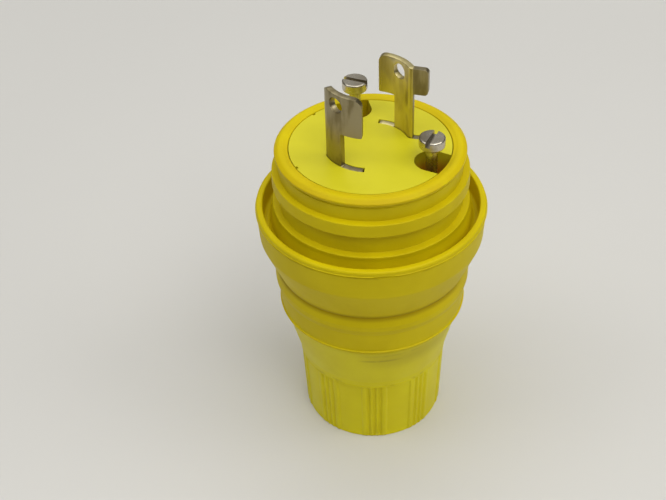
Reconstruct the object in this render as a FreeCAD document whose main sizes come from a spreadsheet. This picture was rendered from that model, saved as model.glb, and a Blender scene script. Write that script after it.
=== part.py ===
import FreeCAD, Part
import math
import os

import Sketcher

# A rubber-booted, two-pole locking plug that stands on its cord nut with the blades up.
# Millimetres. Z is the plug's axis, up towards the blades, and zero is the foot of the cord nut.
# Angles go round Z from +X. Radii are measured from the axis unless a piece has its own axis.
# A drop is a depth below the top of the boot's lip. Left and right are as seen from the side of the
# hooked blade, -Y.

doc = FreeCAD.newDocument("locking_plug")
sheet = doc.addObject("Spreadsheet::Sheet", "Sizes")


def write_sizes(first_row, title, sizes):
    """Writes one titled block of named numbers and returns the next free row."""
    sheet.set(f"A{first_row}", title)
    row = first_row + 1
    for alias, number in sizes.items():
        sheet.set(f"A{row}", alias)
        sheet.set(f"B{row}", str(number))
        sheet.setAlias(f"B{row}", alias)
        row += 1
    return row + 1


next_row = write_sizes(1, "Whole plug", {
    "lip_height": 82,
    "blade_reach": 19,
    "seat_gap": 0.05,
    "running_gap": 0.06,
    "over_run": 1,
})
next_row = write_sizes(next_row, "Rubber boot", {
    "mouth_radius": 19.5,
    "lip_radius": 22.9,
    "lip_depth": 2.2,
    "lip_round": 0.9,
    "lip_slope": 1,
    "nose_radius": 22.2,
    "upper_bead_drop": 6,
    "upper_bead_radius": 23.75,
    "lower_bead_drop": 15,
    "lower_bead_radius": 24,
    "bead_ramp": 0.1,
    "bead_depth": 3.55,
    "bead_flare": 0.1,
    "groove_radius": 22.4,
    "bead_round": 0.4,
    "rim_drop": 16.2,
    "rim_radius": 28.4,
    "rim_wall": 1.85,
    "rim_draft": 0.1,
    "rim_band": 1,
    "rim_round": 0.9,
    "cup_depth": 4.8,
    "cup_root_radius": 24.8,
    "skirt_drop": 24.2,
    "skirt_radius": 27.8,
    "skirt_round": 3,
    "waist_drop": 33.8,
    "waist_radius": 24.1,
    "collar_peak_drop": 36.4,
    "collar_peak_radius": 24.7,
    "collar_edge_drop": 38.1,
    "collar_edge_radius": 24.1,
    "boot_foot_drop": 46,
    "boot_foot_radius": 23.6,
    "boot_web": 2,
})
next_row = write_sizes(next_row, "Rigid housing inside the boot", {
    "housing_wall": 1.6,
    "housing_top_drop": 11.5,
    "housing_floor": 2.4,
    "neck_radius": 14.5,
    "neck_length": 16,
    "neck_bore_radius": 10.5,
    "grommet_stop": 0.6,
    "wire_hole_radius": 9.2,
    "boss_radius": 3.4,
    "boss_height": 17.8,
    "boss_hole_depth": 15.8,
    "thread_insert_radius": 2.6,
    "thread_insert_length": 10,
})
next_row = write_sizes(next_row, "Face and rear insulator", {
    "face_recess": 0.4,
    "insert_radius": 19.25,
    "insert_depth": 9.6,
    "well_radius": 4.05,
    "well_depth": 6.6,
    "screw_hole_radius": 1.9,
    "key_nick_width": 0.9,
    "key_nick_depth": 0.5,
    "first_key_angle": 135.6,
    "second_key_angle": 207.2,
    "rear_radius": 17.2,
    "rear_depth": 7,
    "rear_notch_radius": 2.8,
    "barrier_depth": 12,
    "barrier_width": 18,
    "barrier_wall": 1.6,
    "retainer_circle": 13.4,
    "retainer_shank_radius": 1.1,
    "retainer_head_radius": 2,
    "retainer_head_depth": 1.6,
    "retainer_length": 12,
    "gasket_wall": 1.5,
})
next_row = write_sizes(next_row, "Blades and terminals", {
    "blade_circle": 10.2,
    "blade_thickness": 1.5,
    "blade_hole_radius": 1.95,
    "blade_hole_drop": 2.9,
    "head_depth": 10,
    "slot_gap": 0.1,
    "slot_end_gap": 1.5,
    "shoulder_sink": 0.1,
    "shoulder_angle": 0.2,
    "ear_angle": 5,
    "ear_depth": 2,
    "hook_start": -159,
    "hook_stem_end": -128.5,
    "hook_end": -99.5,
    "hook_hole_angle": -135.5,
    "hook_tail_angle": -125,
    "hook_outer_corner": 2.2,
    "hook_inner_corner": 1,
    "wide_start": 76.8,
    "wide_stem_start": 52,
    "wide_bend": 19,
    "wide_hole_angle": 42.5,
    "wide_tail_angle": 47,
    "wide_corner": 1.8,
    "leg_angle": -15,
    "leg_stem_length": 0.6,
    "leg_foot_length": 4.1,
    "leg_tab_length": 4.1,
    "leg_tab_depth": 6.8,
    "tab_corner": 1,
    "small_corner": 0.5,
    "tail_width": 8.4,
    "tail_low": 51,
    "terminal_height": 56.5,
    "wire_gap": 2.3,
    "clamp_thickness": 1.3,
    "clamp_height": 8.6,
    "terminal_shank_radius": 1.6,
    "terminal_shank_length": 7.4,
    "terminal_head_radius": 2.9,
    "terminal_head_depth": 1.5,
})
next_row = write_sizes(next_row, "Assembly screws", {
    "blade_axis": 38.7,
    "screw_spread": 64.5,
    "screw_circle": 15.7,
    "screw_head_radius": 3.1,
    "screw_head_depth": 2.5,
    "screw_head_round": 0.35,
    "screw_slot_width": 1.1,
    "screw_slot_depth": 1.2,
    "screw_neck_radius": 1.4,
    "screw_neck_length": 16.6,
    "screw_thread_radius": 1.75,
    "screw_point": 0.5,
    "screw_length": 31,
    "right_screw_lift": 4.2,
    "left_screw_lift": 6,
    "right_slot_angle": 67,
    "left_slot_angle": -22,
    "washer_radius": 2.05,
    "washer_thickness": 0.8,
})
next_row = write_sizes(next_row, "Cord grip", {
    "nut_top_gap": 0.3,
    "nut_top_radius": 22.9,
    "nut_skirt_wall": 1.9,
    "nut_shoulder_height": 21.5,
    "nut_shoulder_radius": 19.2,
    "nut_shoulder_round": 2,
    "nut_band_height": 19.3,
    "nut_band_radius": 18.95,
    "nut_foot_radius": 18.1,
    "nut_foot_round": 0.5,
    "nut_throat_radius": 9.5,
    "nut_throat_height": 10,
    "nut_bell_radius": 13.6,
    "nut_seat_height": 17.2,
    "nut_tube_wall": 2.2,
    "nut_tube_top": 34,
    "nut_core_floor": 24.5,
    "nut_core_radius": 17.7,
    "panel_sink": 0.4,
    "flute_sink": 0.5,
    "rib_groups": 9,
    "rib_group_angle": -89.2,
    "rib_pitch_angle": 4.7,
    "rib_group_half_angle": 9.9,
    "flute_angle": 2.3,
    "slip_radius": 12.8,
    "slip_bore_radius": 8.1,
    "slip_thickness": 1.2,
    "grommet_foot_height": 18.6,
    "grommet_radius": 10.3,
    "grommet_taper_length": 4,
    "grommet_nose_radius": 9.4,
    "cord_radius": 7.6,
    "seal_tube_radius": 0.9,
})
doc.recompute()

# Heights that several pieces share, written as sums of the sheet's sizes.
BOOT_FOOT = "lip_height - boot_foot_drop"
HOUSING_FOOT = f"{BOOT_FOOT} + boot_web + seat_gap"
HOUSING_TOP = "lip_height - housing_top_drop"
FACE_TOP = "lip_height - face_recess"
FACE_FOOT = f"{FACE_TOP} - insert_depth"
REAR_TOP = f"{FACE_FOOT} - seat_gap"
REAR_FOOT = f"{REAR_TOP} - rear_depth"
BLADE_TOP = f"{FACE_TOP} + blade_reach"
BLADE_INNER = "blade_circle - blade_thickness / 2"
BLADE_OUTER = "blade_circle + blade_thickness / 2"
SCREW_SIDES = (("Right", "-"), ("Left", "+"))
RETAINER_TURNS = (("First", "blade_axis - 90"), ("Second", "blade_axis + 90"))


def mm(alias):
    """The number that a cell holds."""
    return float(sheet.get(alias))


def polar(radius, angle, height=0.0):
    """A point at a radius and an angle in degrees."""
    turn = math.radians(angle)
    return FreeCAD.Vector(radius * math.cos(turn), radius * math.sin(turn), height)


def ring_point(radius, height):
    """A point on a turned edge, a quarter turn away from where its section was drawn."""
    return polar(radius, 90, height)


def named(text):
    """Turns plain words such as 'lip_height - rim_drop' into an expression on the sheet."""
    words = text.replace("(", "( ").replace(")", " )").split()
    return " ".join("Sizes." + word if word[0].isalpha() and word[-1] != "(" and "_" in word else word
                    for word in words)


def bind(item, path, text):
    """Ties one property to the sheet."""
    item.setExpression(path, named(text))


def new_body(label):
    body = doc.addObject("PartDesign::Body", label)
    body.Label = label
    return body


def origin_feature(body, role):
    """The body's own plane or axis of that role."""
    for feature in body.Origin.OriginFeatures:
        if feature.Role == role:
            return feature


def new_sketch(body, name, role, lift="0", turn="0"):
    """An empty sketch on one of the body's planes, lifted out of it and turned about Z."""
    sketch = body.newObject("Sketcher::SketchObject", name)
    sketch.AttachmentSupport = (origin_feature(body, role), [""])
    sketch.MapMode = "FlatFace"
    axis = FreeCAD.Vector(0, 0, 1) if role == "XY_Plane" else FreeCAD.Vector(0, 1, 0)
    sketch.AttachmentOffset = FreeCAD.Placement(FreeCAD.Vector(), FreeCAD.Rotation(axis, 1))
    bind(sketch, "AttachmentOffset.Rotation.Angle", turn)
    bind(sketch, "AttachmentOffset.Base.z", lift)
    return sketch


def hold(sketch, kind, where, start, text):
    """Adds one dimension and ties it to the sheet."""
    index = sketch.addConstraint(Sketcher.Constraint(kind, *where, start))
    sketch.setExpression(f"Constraints[{index}]", named(text))


def outline(sketch, corners):
    """A closed outline of straight edges, each corner held across and up from the origin."""
    count = len(corners)
    rough = [polar(5, 360 * step / count) + FreeCAD.Vector(10, 10, 0) for step in range(count)]
    for step in range(count):
        sketch.addGeometry(Part.LineSegment(rough[step], rough[(step + 1) % count]))
    for step in range(count):
        sketch.addConstraint(Sketcher.Constraint("Coincident", step, 2, (step + 1) % count, 1))
    for step, (across, up) in enumerate(corners):
        hold(sketch, "DistanceX", (-1, 1, step, 1), rough[step].x, across)
        hold(sketch, "DistanceY", (-1, 1, step, 1), rough[step].y, up)


def rectangle(sketch, near, far, half_width):
    """A rectangle that lies across the sketch's X axis."""
    outline(sketch, [
        (near, f"0 - {half_width}"),
        (far, f"0 - {half_width}"),
        (far, half_width),
        (near, half_width),
    ])


def circle(sketch, across, up, radius):
    index = sketch.addGeometry(Part.Circle(FreeCAD.Vector(5, 5, 0), FreeCAD.Vector(0, 0, 1), 1))
    hold(sketch, "Radius", (index,), 1, radius)
    hold(sketch, "DistanceX", (-1, 1, index, 3), 5, across)
    hold(sketch, "DistanceY", (-1, 1, index, 3), 5, up)


def sector(sketch, inner, outer, start, end, start_angle, end_angle):
    """A piece of a ring round the origin. The angles in degrees are where it is first drawn."""
    low, high = math.radians(start_angle), math.radians(end_angle)
    up = FreeCAD.Vector(0, 0, 1)
    sketch.addGeometry([
        Part.ArcOfCircle(Part.Circle(FreeCAD.Vector(), up, 10), low, high),
        Part.LineSegment(polar(8, end_angle), polar(10, end_angle)),
        Part.ArcOfCircle(Part.Circle(FreeCAD.Vector(), up, 8), low, high),
        Part.LineSegment(polar(8, start_angle), polar(10, start_angle)),
    ])
    for arc in (0, 2):
        sketch.addConstraint(Sketcher.Constraint("Coincident", arc, 3, -1, 1))
    for arc, place in ((0, 2), (2, 1)):
        sketch.addConstraint(Sketcher.Constraint("Coincident", arc, 2, 1, place))
        sketch.addConstraint(Sketcher.Constraint("Coincident", arc, 1, 3, place))
    for line in (1, 3):
        sketch.addConstraint(Sketcher.Constraint("PointOnObject", -1, 1, line))
    hold(sketch, "Radius", (0,), 10, outer)
    hold(sketch, "Radius", (2,), 8, inner)
    hold(sketch, "Angle", (1,), high, f"( {end} ) * 1 deg")
    hold(sketch, "Angle", (3,), low, f"( {start} ) * 1 deg")


def slot(sketch, centre, radius, reach):
    """A slot along +X whose round end is centred on the X axis."""
    round_end = Part.Circle(FreeCAD.Vector(5, 0, 0), FreeCAD.Vector(0, 0, 1), 2)
    sketch.addGeometry([
        Part.ArcOfCircle(round_end, math.pi / 2, 3 * math.pi / 2),
        Part.LineSegment(FreeCAD.Vector(5, -2, 0), FreeCAD.Vector(9, -2, 0)),
        Part.LineSegment(FreeCAD.Vector(9, -2, 0), FreeCAD.Vector(9, 2, 0)),
        Part.LineSegment(FreeCAD.Vector(9, 2, 0), FreeCAD.Vector(5, 2, 0)),
    ])
    sketch.addConstraint(Sketcher.Constraint("Tangent", 0, 2, 1, 1))
    sketch.addConstraint(Sketcher.Constraint("Tangent", 3, 2, 0, 1))
    sketch.addConstraint(Sketcher.Constraint("Coincident", 1, 2, 2, 1))
    sketch.addConstraint(Sketcher.Constraint("Coincident", 2, 2, 3, 1))
    sketch.addConstraint(Sketcher.Constraint("Horizontal", 1))
    sketch.addConstraint(Sketcher.Constraint("Horizontal", 3))
    sketch.addConstraint(Sketcher.Constraint("Vertical", 2))
    sketch.addConstraint(Sketcher.Constraint("PointOnObject", 0, 3, -1))
    hold(sketch, "Radius", (0,), 2, radius)
    hold(sketch, "DistanceX", (-1, 1, 0, 3), 5, centre)
    hold(sketch, "DistanceX", (-1, 1, 2, 1), 9, reach)


def turn_section(body, sketch, axis="V_Axis"):
    """Turns a section all the way round an axis of its sketch."""
    feature = body.newObject("PartDesign::Revolution", sketch.Name + "Turned")
    feature.Profile = sketch
    feature.ReferenceAxis = (sketch, [axis])
    feature.Angle = 360
    return feature


def groove_part_way(body, sketch, sweep):
    """Cuts a section round Z over a sweep that the sketch stands in the middle of."""
    feature = body.newObject("PartDesign::Groove", sketch.Name + "Cut")
    feature.Profile = sketch
    feature.ReferenceAxis = (sketch, ["V_Axis"])
    feature.Midplane = True
    bind(feature, "Angle", f"( {sweep} ) * 1 deg")
    return feature


def extrude(body, sketch, length):
    feature = body.newObject("PartDesign::Pad", sketch.Name + "Raised")
    feature.Profile = sketch
    bind(feature, "Length", length)
    return feature


def check_cut(body, before, name):
    """Stops if a cut took nothing away."""
    doc.recompute()
    if body.Shape.Volume >= before - 0.01:
        raise RuntimeError(f"{name} cuts nothing from {body.Label}")


def cut_down(body, sketch, depth):
    """Cuts from a sketch towards -Z."""
    doc.recompute()
    before = body.Shape.Volume
    feature = body.newObject("PartDesign::Pocket", sketch.Name + "Cut")
    feature.Profile = sketch
    bind(feature, "Length", depth)
    check_cut(body, before, sketch.Name)


def cut_through(body, sketch):
    """Cuts both ways from a sketch through the whole body."""
    doc.recompute()
    before = body.Shape.Volume
    feature = body.newObject("PartDesign::Pocket", sketch.Name + "Cut")
    feature.Profile = sketch
    feature.Type = "ThroughAll"
    feature.Midplane = True
    check_cut(body, before, sketch.Name)


def soften(body, name, radius, points):
    """Rounds the edges that pass nearest to the points."""
    doc.recompute()
    base = body.Tip
    edges = base.Shape.Edges
    chosen = []
    for point in points:
        spot = Part.Vertex(point)
        index = min(range(len(edges)), key=lambda edge: edges[edge].distToShape(spot)[0])
        chosen.append(f"Edge{index + 1}")
    feature = body.newObject("PartDesign::Fillet", name)
    feature.Base = (base, chosen)
    bind(feature, "Radius", radius)


def ring_body(label, inner, outer, low, high):
    """A flat ring between two heights."""
    body = new_body(label)
    section = new_sketch(body, "RingSection", "XZ_Plane")
    outline(section, [(inner, low), (outer, low), (outer, high), (inner, high)])
    turn_section(body, section)
    return body


def place_at_screw(item, side, height):
    """Puts a piece with its own upright axis on one of the two screw axes."""
    bind(item, "Placement.Base.x", f"screw_circle * cos( blade_axis {side} screw_spread )")
    bind(item, "Placement.Base.y", f"screw_circle * sin( blade_axis {side} screw_spread )")
    bind(item, "Placement.Base.z", height)


def make_boot():
    """Yellow elastomer boot: rolled lip, two sealing beads, cup flange, waist, collar, bottom web."""
    body = new_body("boot")
    section = new_sketch(body, "BootSection", "XZ_Plane")
    corners = [
        ("mouth_radius", "0"),
        ("lip_radius", "0"),
        ("lip_radius", "lip_depth - lip_slope"),
        ("nose_radius", "lip_depth"),
        ("nose_radius", "upper_bead_drop - bead_ramp"),
        ("upper_bead_radius", "upper_bead_drop"),
        ("upper_bead_radius + bead_flare", "upper_bead_drop + bead_depth"),
        ("groove_radius", "upper_bead_drop + bead_depth + bead_ramp"),
        ("groove_radius", "lower_bead_drop - bead_ramp"),
        ("lower_bead_radius", "lower_bead_drop"),
        ("cup_root_radius", "rim_drop + cup_depth"),
        ("rim_radius - rim_wall", "rim_drop + cup_depth"),
        ("rim_radius - rim_wall", "rim_drop"),
        ("rim_radius - rim_draft", "rim_drop"),
        ("rim_radius", "rim_drop + rim_band"),
        ("skirt_radius", "skirt_drop"),
        ("waist_radius", "waist_drop"),
        ("collar_peak_radius", "collar_peak_drop"),
        ("collar_edge_radius", "collar_edge_drop"),
        ("boot_foot_radius", "boot_foot_drop"),
        ("neck_radius + seat_gap", "boot_foot_drop"),
        ("neck_radius + seat_gap", "boot_foot_drop - boot_web"),
        ("mouth_radius", "boot_foot_drop - boot_web"),
    ]
    outline(section, [(radius, f"lip_height - ( {drop} )") for radius, drop in corners])
    turn_section(body, section)
    top = mm("lip_height")
    soften(body, "LipRound", "lip_round", [ring_point(mm("lip_radius"), top)])
    bead_drop = mm("upper_bead_drop")
    edges = [ring_point(mm("mouth_radius"), top),
             ring_point(mm("lip_radius"), top - mm("lip_depth") + mm("lip_slope")),
             ring_point(mm("boot_foot_radius"), top - mm("boot_foot_drop")),
             ring_point(mm("upper_bead_radius"), top - bead_drop),
             ring_point(mm("upper_bead_radius") + mm("bead_flare"), top - bead_drop - mm("bead_depth")),
             ring_point(mm("lower_bead_radius"), top - mm("lower_bead_drop"))]
    soften(body, "EdgeRounds", "bead_round", edges)
    rim_edge = mm("rim_radius") - mm("rim_draft")
    soften(body, "RimRound", "rim_round", [ring_point(rim_edge, top - mm("rim_drop"))])
    soften(body, "SkirtRound", "skirt_round", [ring_point(mm("skirt_radius"), top - mm("skirt_drop"))])
    return body


def make_housing():
    """Rigid nylon cup moulded into the boot, with a threaded neck below and two screw bosses."""
    body = new_body("core_housing")
    section = new_sketch(body, "HousingSection", "XZ_Plane")
    outline(section, [
        ("neck_bore_radius", f"{BOOT_FOOT} - neck_length"),
        ("neck_radius", f"{BOOT_FOOT} - neck_length"),
        ("neck_radius", HOUSING_FOOT),
        ("mouth_radius - seat_gap", HOUSING_FOOT),
        ("mouth_radius - seat_gap", HOUSING_TOP),
        ("mouth_radius - housing_wall", HOUSING_TOP),
        ("mouth_radius - housing_wall", f"{HOUSING_FOOT} + housing_floor"),
        ("wire_hole_radius", f"{HOUSING_FOOT} + housing_floor"),
        ("wire_hole_radius", f"{HOUSING_FOOT} + grommet_stop"),
        ("neck_bore_radius", f"{HOUSING_FOOT} + grommet_stop"),
    ])
    turn_section(body, section)
    for name, side in SCREW_SIDES:
        turn = f"blade_axis {side} screw_spread"
        boss = new_sketch(body, name + "Boss", "XY_Plane", f"{HOUSING_FOOT} + housing_floor - over_run", turn)
        circle(boss, "screw_circle", "0", "boss_radius")
        extrude(body, boss, "boss_height + over_run")
    for name, side in SCREW_SIDES:
        turn = f"blade_axis {side} screw_spread"
        top = f"{HOUSING_FOOT} + housing_floor + boss_height"
        hole = new_sketch(body, name + "BossHole", "XY_Plane", top, turn)
        circle(hole, "screw_circle", "0", "thread_insert_radius")
        cut_down(body, hole, "boss_hole_depth")
    return body


def make_thread_inserts():
    """Two plain brass bushes, flush with the tops of the bosses."""
    foot = f"{HOUSING_FOOT} + housing_floor + boss_height - thread_insert_length"
    bushes = []
    for name, side in SCREW_SIDES:
        outside = doc.addObject("Part::Cylinder", name + "BushOutside")
        bind(outside, "Radius", "thread_insert_radius - seat_gap")
        bind(outside, "Height", "thread_insert_length")
        thread = doc.addObject("Part::Cylinder", name + "BushThread")
        bind(thread, "Radius", "screw_thread_radius + running_gap")
        bind(thread, "Height", "thread_insert_length")
        bush = doc.addObject("Part::Cut", name + "Bush")
        bush.Base = outside
        bush.Tool = thread
        place_at_screw(bush, side, foot)
        bushes.append(bush)
    pair = doc.addObject("Part::Compound", "ThreadInserts")
    pair.Links = bushes
    pair.Label = "thread_inserts"
    return pair


def leg_sketch(body, name, lift, length, gap):
    """Plan of the wide blade's out-turned leg: round at the bend, square at its end."""
    sketch = new_sketch(body, name, "XY_Plane", lift, "leg_angle")
    bind(sketch, "AttachmentOffset.Base.x", "blade_circle * cos( wide_bend )")
    bind(sketch, "AttachmentOffset.Base.y", "blade_circle * sin( wide_bend )")
    slot(sketch, "0", f"blade_thickness / 2 + {gap}", length)
    return sketch


def cut_blade_space(body, name, top, depth, angle, leg_length):
    """Cuts the room that both blades take, from a height down."""
    inner = f"{BLADE_INNER} - slot_gap"
    outer = f"{BLADE_OUTER} + slot_gap"
    spread = f"( {angle} + slot_end_gap )"
    hook = new_sketch(body, name + "Hook", "XY_Plane", top)
    sector(hook, inner, outer, f"hook_start - {spread}", f"hook_end + {spread}",
           mm("hook_start"), mm("hook_end"))
    cut_down(body, hook, depth)
    wide = new_sketch(body, name + "Wide", "XY_Plane", top)
    sector(wide, inner, outer, "wide_bend", f"wide_start + {spread}", mm("wide_bend"), mm("wide_start"))
    cut_down(body, wide, depth)
    leg = leg_sketch(body, name + "Leg", top, f"{leg_length} + slot_gap", "slot_gap")
    cut_down(body, leg, depth)


def make_face_insert():
    """Yellow nylon face: two blade slots, two screw wells that open at its edge, two key nicks."""
    body = new_body("face_insert")
    plan = new_sketch(body, "FacePlan", "XY_Plane", FACE_FOOT)
    circle(plan, "0", "0", "insert_radius")
    extrude(body, plan, "insert_depth")
    for name, side in SCREW_SIDES:
        turn = f"blade_axis {side} screw_spread"
        well = new_sketch(body, name + "Well", "XY_Plane", FACE_TOP, turn)
        slot(well, "screw_circle", "well_radius", "insert_radius + over_run")
        cut_down(body, well, "well_depth")
        hole = new_sketch(body, name + "WellHole", "XY_Plane", FACE_TOP, turn)
        circle(hole, "screw_circle", "0", "screw_hole_radius")
        cut_down(body, hole, "insert_depth")
    for name in ("first", "second"):
        nick = new_sketch(body, name + "KeyNick", "XY_Plane", FACE_TOP, f"{name}_key_angle")
        rectangle(nick, "insert_radius - key_nick_depth", "insert_radius + over_run", "key_nick_width / 2")
        cut_down(body, nick, "well_depth")
    cut_blade_space(body, "Slot", FACE_TOP, "insert_depth", "shoulder_angle", "leg_foot_length")
    cut_blade_space(body, "EarRoom", f"{FACE_FOOT} + ear_depth + slot_gap", "ear_depth + slot_gap",
                    "ear_angle", "leg_foot_length + blade_thickness")
    for name, turn in RETAINER_TURNS:
        hole_top = f"{REAR_FOOT} + retainer_length + over_run"
        hole = new_sketch(body, name + "PilotHole", "XY_Plane", hole_top, turn)
        circle(hole, "retainer_circle", "0", "retainer_shank_radius + seat_gap")
        cut_down(body, hole, "retainer_length")
    return body


def make_rear_insulator():
    """Black nylon plate that traps the blades from behind, with a barrier between the terminals."""
    body = new_body("rear_insulator")
    plan = new_sketch(body, "RearPlan", "XY_Plane", REAR_FOOT)
    circle(plan, "0", "0", "rear_radius")
    extrude(body, plan, "rear_depth")
    barrier = new_sketch(body, "Barrier", "XY_Plane", f"{REAR_FOOT} - barrier_depth", "blade_axis")
    rectangle(barrier, "0 - barrier_wall / 2", "barrier_wall / 2", "barrier_width / 2")
    extrude(body, barrier, "barrier_depth + over_run")
    for name, side in SCREW_SIDES:
        notch = new_sketch(body, name + "Notch", "XY_Plane", REAR_TOP, f"blade_axis {side} screw_spread")
        slot(notch, "screw_circle", "rear_notch_radius", "rear_radius + over_run")
        cut_down(body, notch, "rear_depth")
    for name in ("hook", "wide"):
        passage = new_sketch(body, name + "Passage", "XY_Plane", REAR_TOP, f"{name}_tail_angle")
        rectangle(passage, f"{BLADE_INNER} - slot_gap", f"{BLADE_OUTER} + slot_gap",
                  "( tail_width / 2 + slot_gap )")
        cut_down(body, passage, "rear_depth")
    for name, turn in RETAINER_TURNS:
        shank = new_sketch(body, name + "ShankHole", "XY_Plane", REAR_TOP, turn)
        circle(shank, "retainer_circle", "0", "retainer_shank_radius + seat_gap")
        cut_down(body, shank, "rear_depth")
        sink_top = f"{REAR_FOOT} + retainer_head_depth + seat_gap"
        sink = new_sketch(body, name + "HeadSink", "XY_Plane", sink_top, turn)
        circle(sink, "retainer_circle", "0", "retainer_head_radius + slot_gap")
        cut_down(body, sink, "retainer_head_depth + seat_gap")
    return body


def make_retainer_screws():
    """Two small screws, head down, that pull the rear insulator up against the face."""
    screws = []
    for name, turn in RETAINER_TURNS:
        head = doc.addObject("Part::Cylinder", name + "RetainerHead")
        bind(head, "Radius", "retainer_head_radius")
        bind(head, "Height", "retainer_head_depth")
        shank = doc.addObject("Part::Cylinder", name + "RetainerShank")
        bind(shank, "Radius", "retainer_shank_radius")
        bind(shank, "Height", "retainer_length")
        screw = doc.addObject("Part::Fuse", name + "Retainer")
        screw.Base = head
        screw.Tool = shank
        bind(screw, "Placement.Base.x", f"retainer_circle * cos( {turn} )")
        bind(screw, "Placement.Base.y", f"retainer_circle * sin( {turn} )")
        bind(screw, "Placement.Base.z", REAR_FOOT)
        screws.append(screw)
    pair = doc.addObject("Part::Compound", "RetainerScrews")
    pair.Links = screws
    pair.Label = "retainer_screws"
    return pair


def blade_sector(body, name, low, length, start, end, rough):
    """Adds a curved piece of blade between two angles, first drawn between the rough ones."""
    sketch = new_sketch(body, name, "XY_Plane", low)
    sector(sketch, BLADE_INNER, BLADE_OUTER, start, end, *rough)
    extrude(body, sketch, length)


def blade_tail(body, name):
    """Adds the flat tail inside the plug, with the tapped hole of its terminal screw."""
    tail = new_sketch(body, "Tail", "XY_Plane", "tail_low", f"{name}_tail_angle")
    rectangle(tail, BLADE_INNER, BLADE_OUTER, "tail_width / 2")
    extrude(body, tail, f"{FACE_FOOT} - tail_low")
    hole = new_sketch(body, "TappedHole", "XZ_Plane", "0", f"{name}_tail_angle + 90")
    circle(hole, "0", "terminal_height", "terminal_shank_radius + running_gap")
    cut_through(body, hole)


def blade_hole(body, name):
    """Cuts the round hole near the tip."""
    hole = new_sketch(body, "BladeHole", "XZ_Plane", "0", f"{name}_hole_angle + 90")
    circle(hole, "0", f"{BLADE_TOP} - blade_hole_drop", "blade_hole_radius")
    cut_through(body, hole)


def make_hook_blade():
    """Nickel-plated brass blade with an L head: the hook that locks under the socket's contact."""
    body = new_body("hook_blade")
    start, end = mm("hook_start"), mm("hook_end")
    whole = (start, end)
    blade_sector(body, "Ears", FACE_FOOT, "ear_depth",
                 "hook_start - ear_angle", "hook_end + ear_angle", whole)
    blade_sector(body, "Shoulder", FACE_FOOT, "insert_depth - shoulder_sink",
                 "hook_start - shoulder_angle", "hook_end + shoulder_angle", whole)
    blade_sector(body, "Stem", f"{FACE_TOP} - over_run", "blade_reach + over_run",
                 "hook_start", "hook_stem_end", (start, mm("hook_stem_end")))
    blade_sector(body, "Head", f"{BLADE_TOP} - head_depth", "head_depth", "hook_start", "hook_end", whole)
    blade_tail(body, "hook")
    blade_hole(body, "hook")
    top = mm("lip_height") - mm("face_recess") + mm("blade_reach")
    middle = mm("blade_circle")
    soften(body, "OuterCorner", "hook_outer_corner", [polar(middle, end, top)])
    soften(body, "InnerCorner", "hook_inner_corner", [polar(middle, start, top)])
    soften(body, "FootCorner", "small_corner", [polar(middle, end, top - mm("head_depth"))])
    return body


def make_wide_blade():
    """Nickel-plated brass blade with a wing on one side and an out-turned tab on the other."""
    body = new_body("wide_blade")
    bend, stem, start = mm("wide_bend"), mm("wide_stem_start"), mm("wide_start")
    shoulder_depth = "insert_depth - shoulder_sink"
    blade_sector(body, "Ears", FACE_FOOT, "ear_depth", "wide_bend", "wide_start + ear_angle", (bend, start))
    blade_sector(body, "Shoulder", FACE_FOOT, shoulder_depth,
                 "wide_bend", "wide_start + shoulder_angle", (bend, start))
    blade_sector(body, "Stem", f"{FACE_TOP} - over_run", "blade_reach + over_run",
                 "wide_bend", "wide_stem_start", (bend, stem))
    blade_sector(body, "Head", f"{BLADE_TOP} - head_depth", "head_depth",
                 "wide_bend", "wide_start", (bend, start))
    for name, low, length, reach in (
            ("LegEar", FACE_FOOT, "ear_depth", "leg_foot_length + blade_thickness"),
            ("LegFoot", FACE_FOOT, shoulder_depth, "leg_foot_length"),
            ("LegStem", f"{FACE_TOP} - over_run", "blade_reach + over_run", "leg_stem_length"),
            ("LegTab", f"{BLADE_TOP} - leg_tab_depth", "leg_tab_depth", "leg_tab_length")):
        extrude(body, leg_sketch(body, name, low, reach, "0"), length)
    blade_tail(body, "wide")
    blade_hole(body, "wide")
    top = mm("lip_height") - mm("face_recess") + mm("blade_reach")
    wing_end = polar(mm("blade_circle"), start, top)
    tab_end = polar(mm("blade_circle"), bend, top) + polar(mm("leg_tab_length"), mm("leg_angle"))
    soften(body, "WingCorner", "wide_corner", [wing_end])
    soften(body, "WingFoot", "small_corner", [wing_end - FreeCAD.Vector(0, 0, mm("head_depth"))])
    soften(body, "TabCorners", "tab_corner", [tab_end, tab_end - FreeCAD.Vector(0, 0, mm("leg_tab_depth"))])
    return body


def make_clamp(name):
    """Brass pressure plate that the terminal screw draws in against the blade's tail."""
    body = new_body(f"{name}_clamp")
    near = f"{BLADE_OUTER} + wire_gap"
    foot = "terminal_height - clamp_height / 2"
    plan = new_sketch(body, "PlatePlan", "XY_Plane", foot, f"{name}_tail_angle")
    rectangle(plan, near, f"{near} + clamp_thickness", "tail_width / 2")
    extrude(body, plan, "clamp_height")
    hole = new_sketch(body, "ScrewHole", "XZ_Plane", "0", f"{name}_tail_angle + 90")
    circle(hole, "0", "terminal_height", "terminal_shank_radius + running_gap")
    cut_through(body, hole)
    return body


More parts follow.
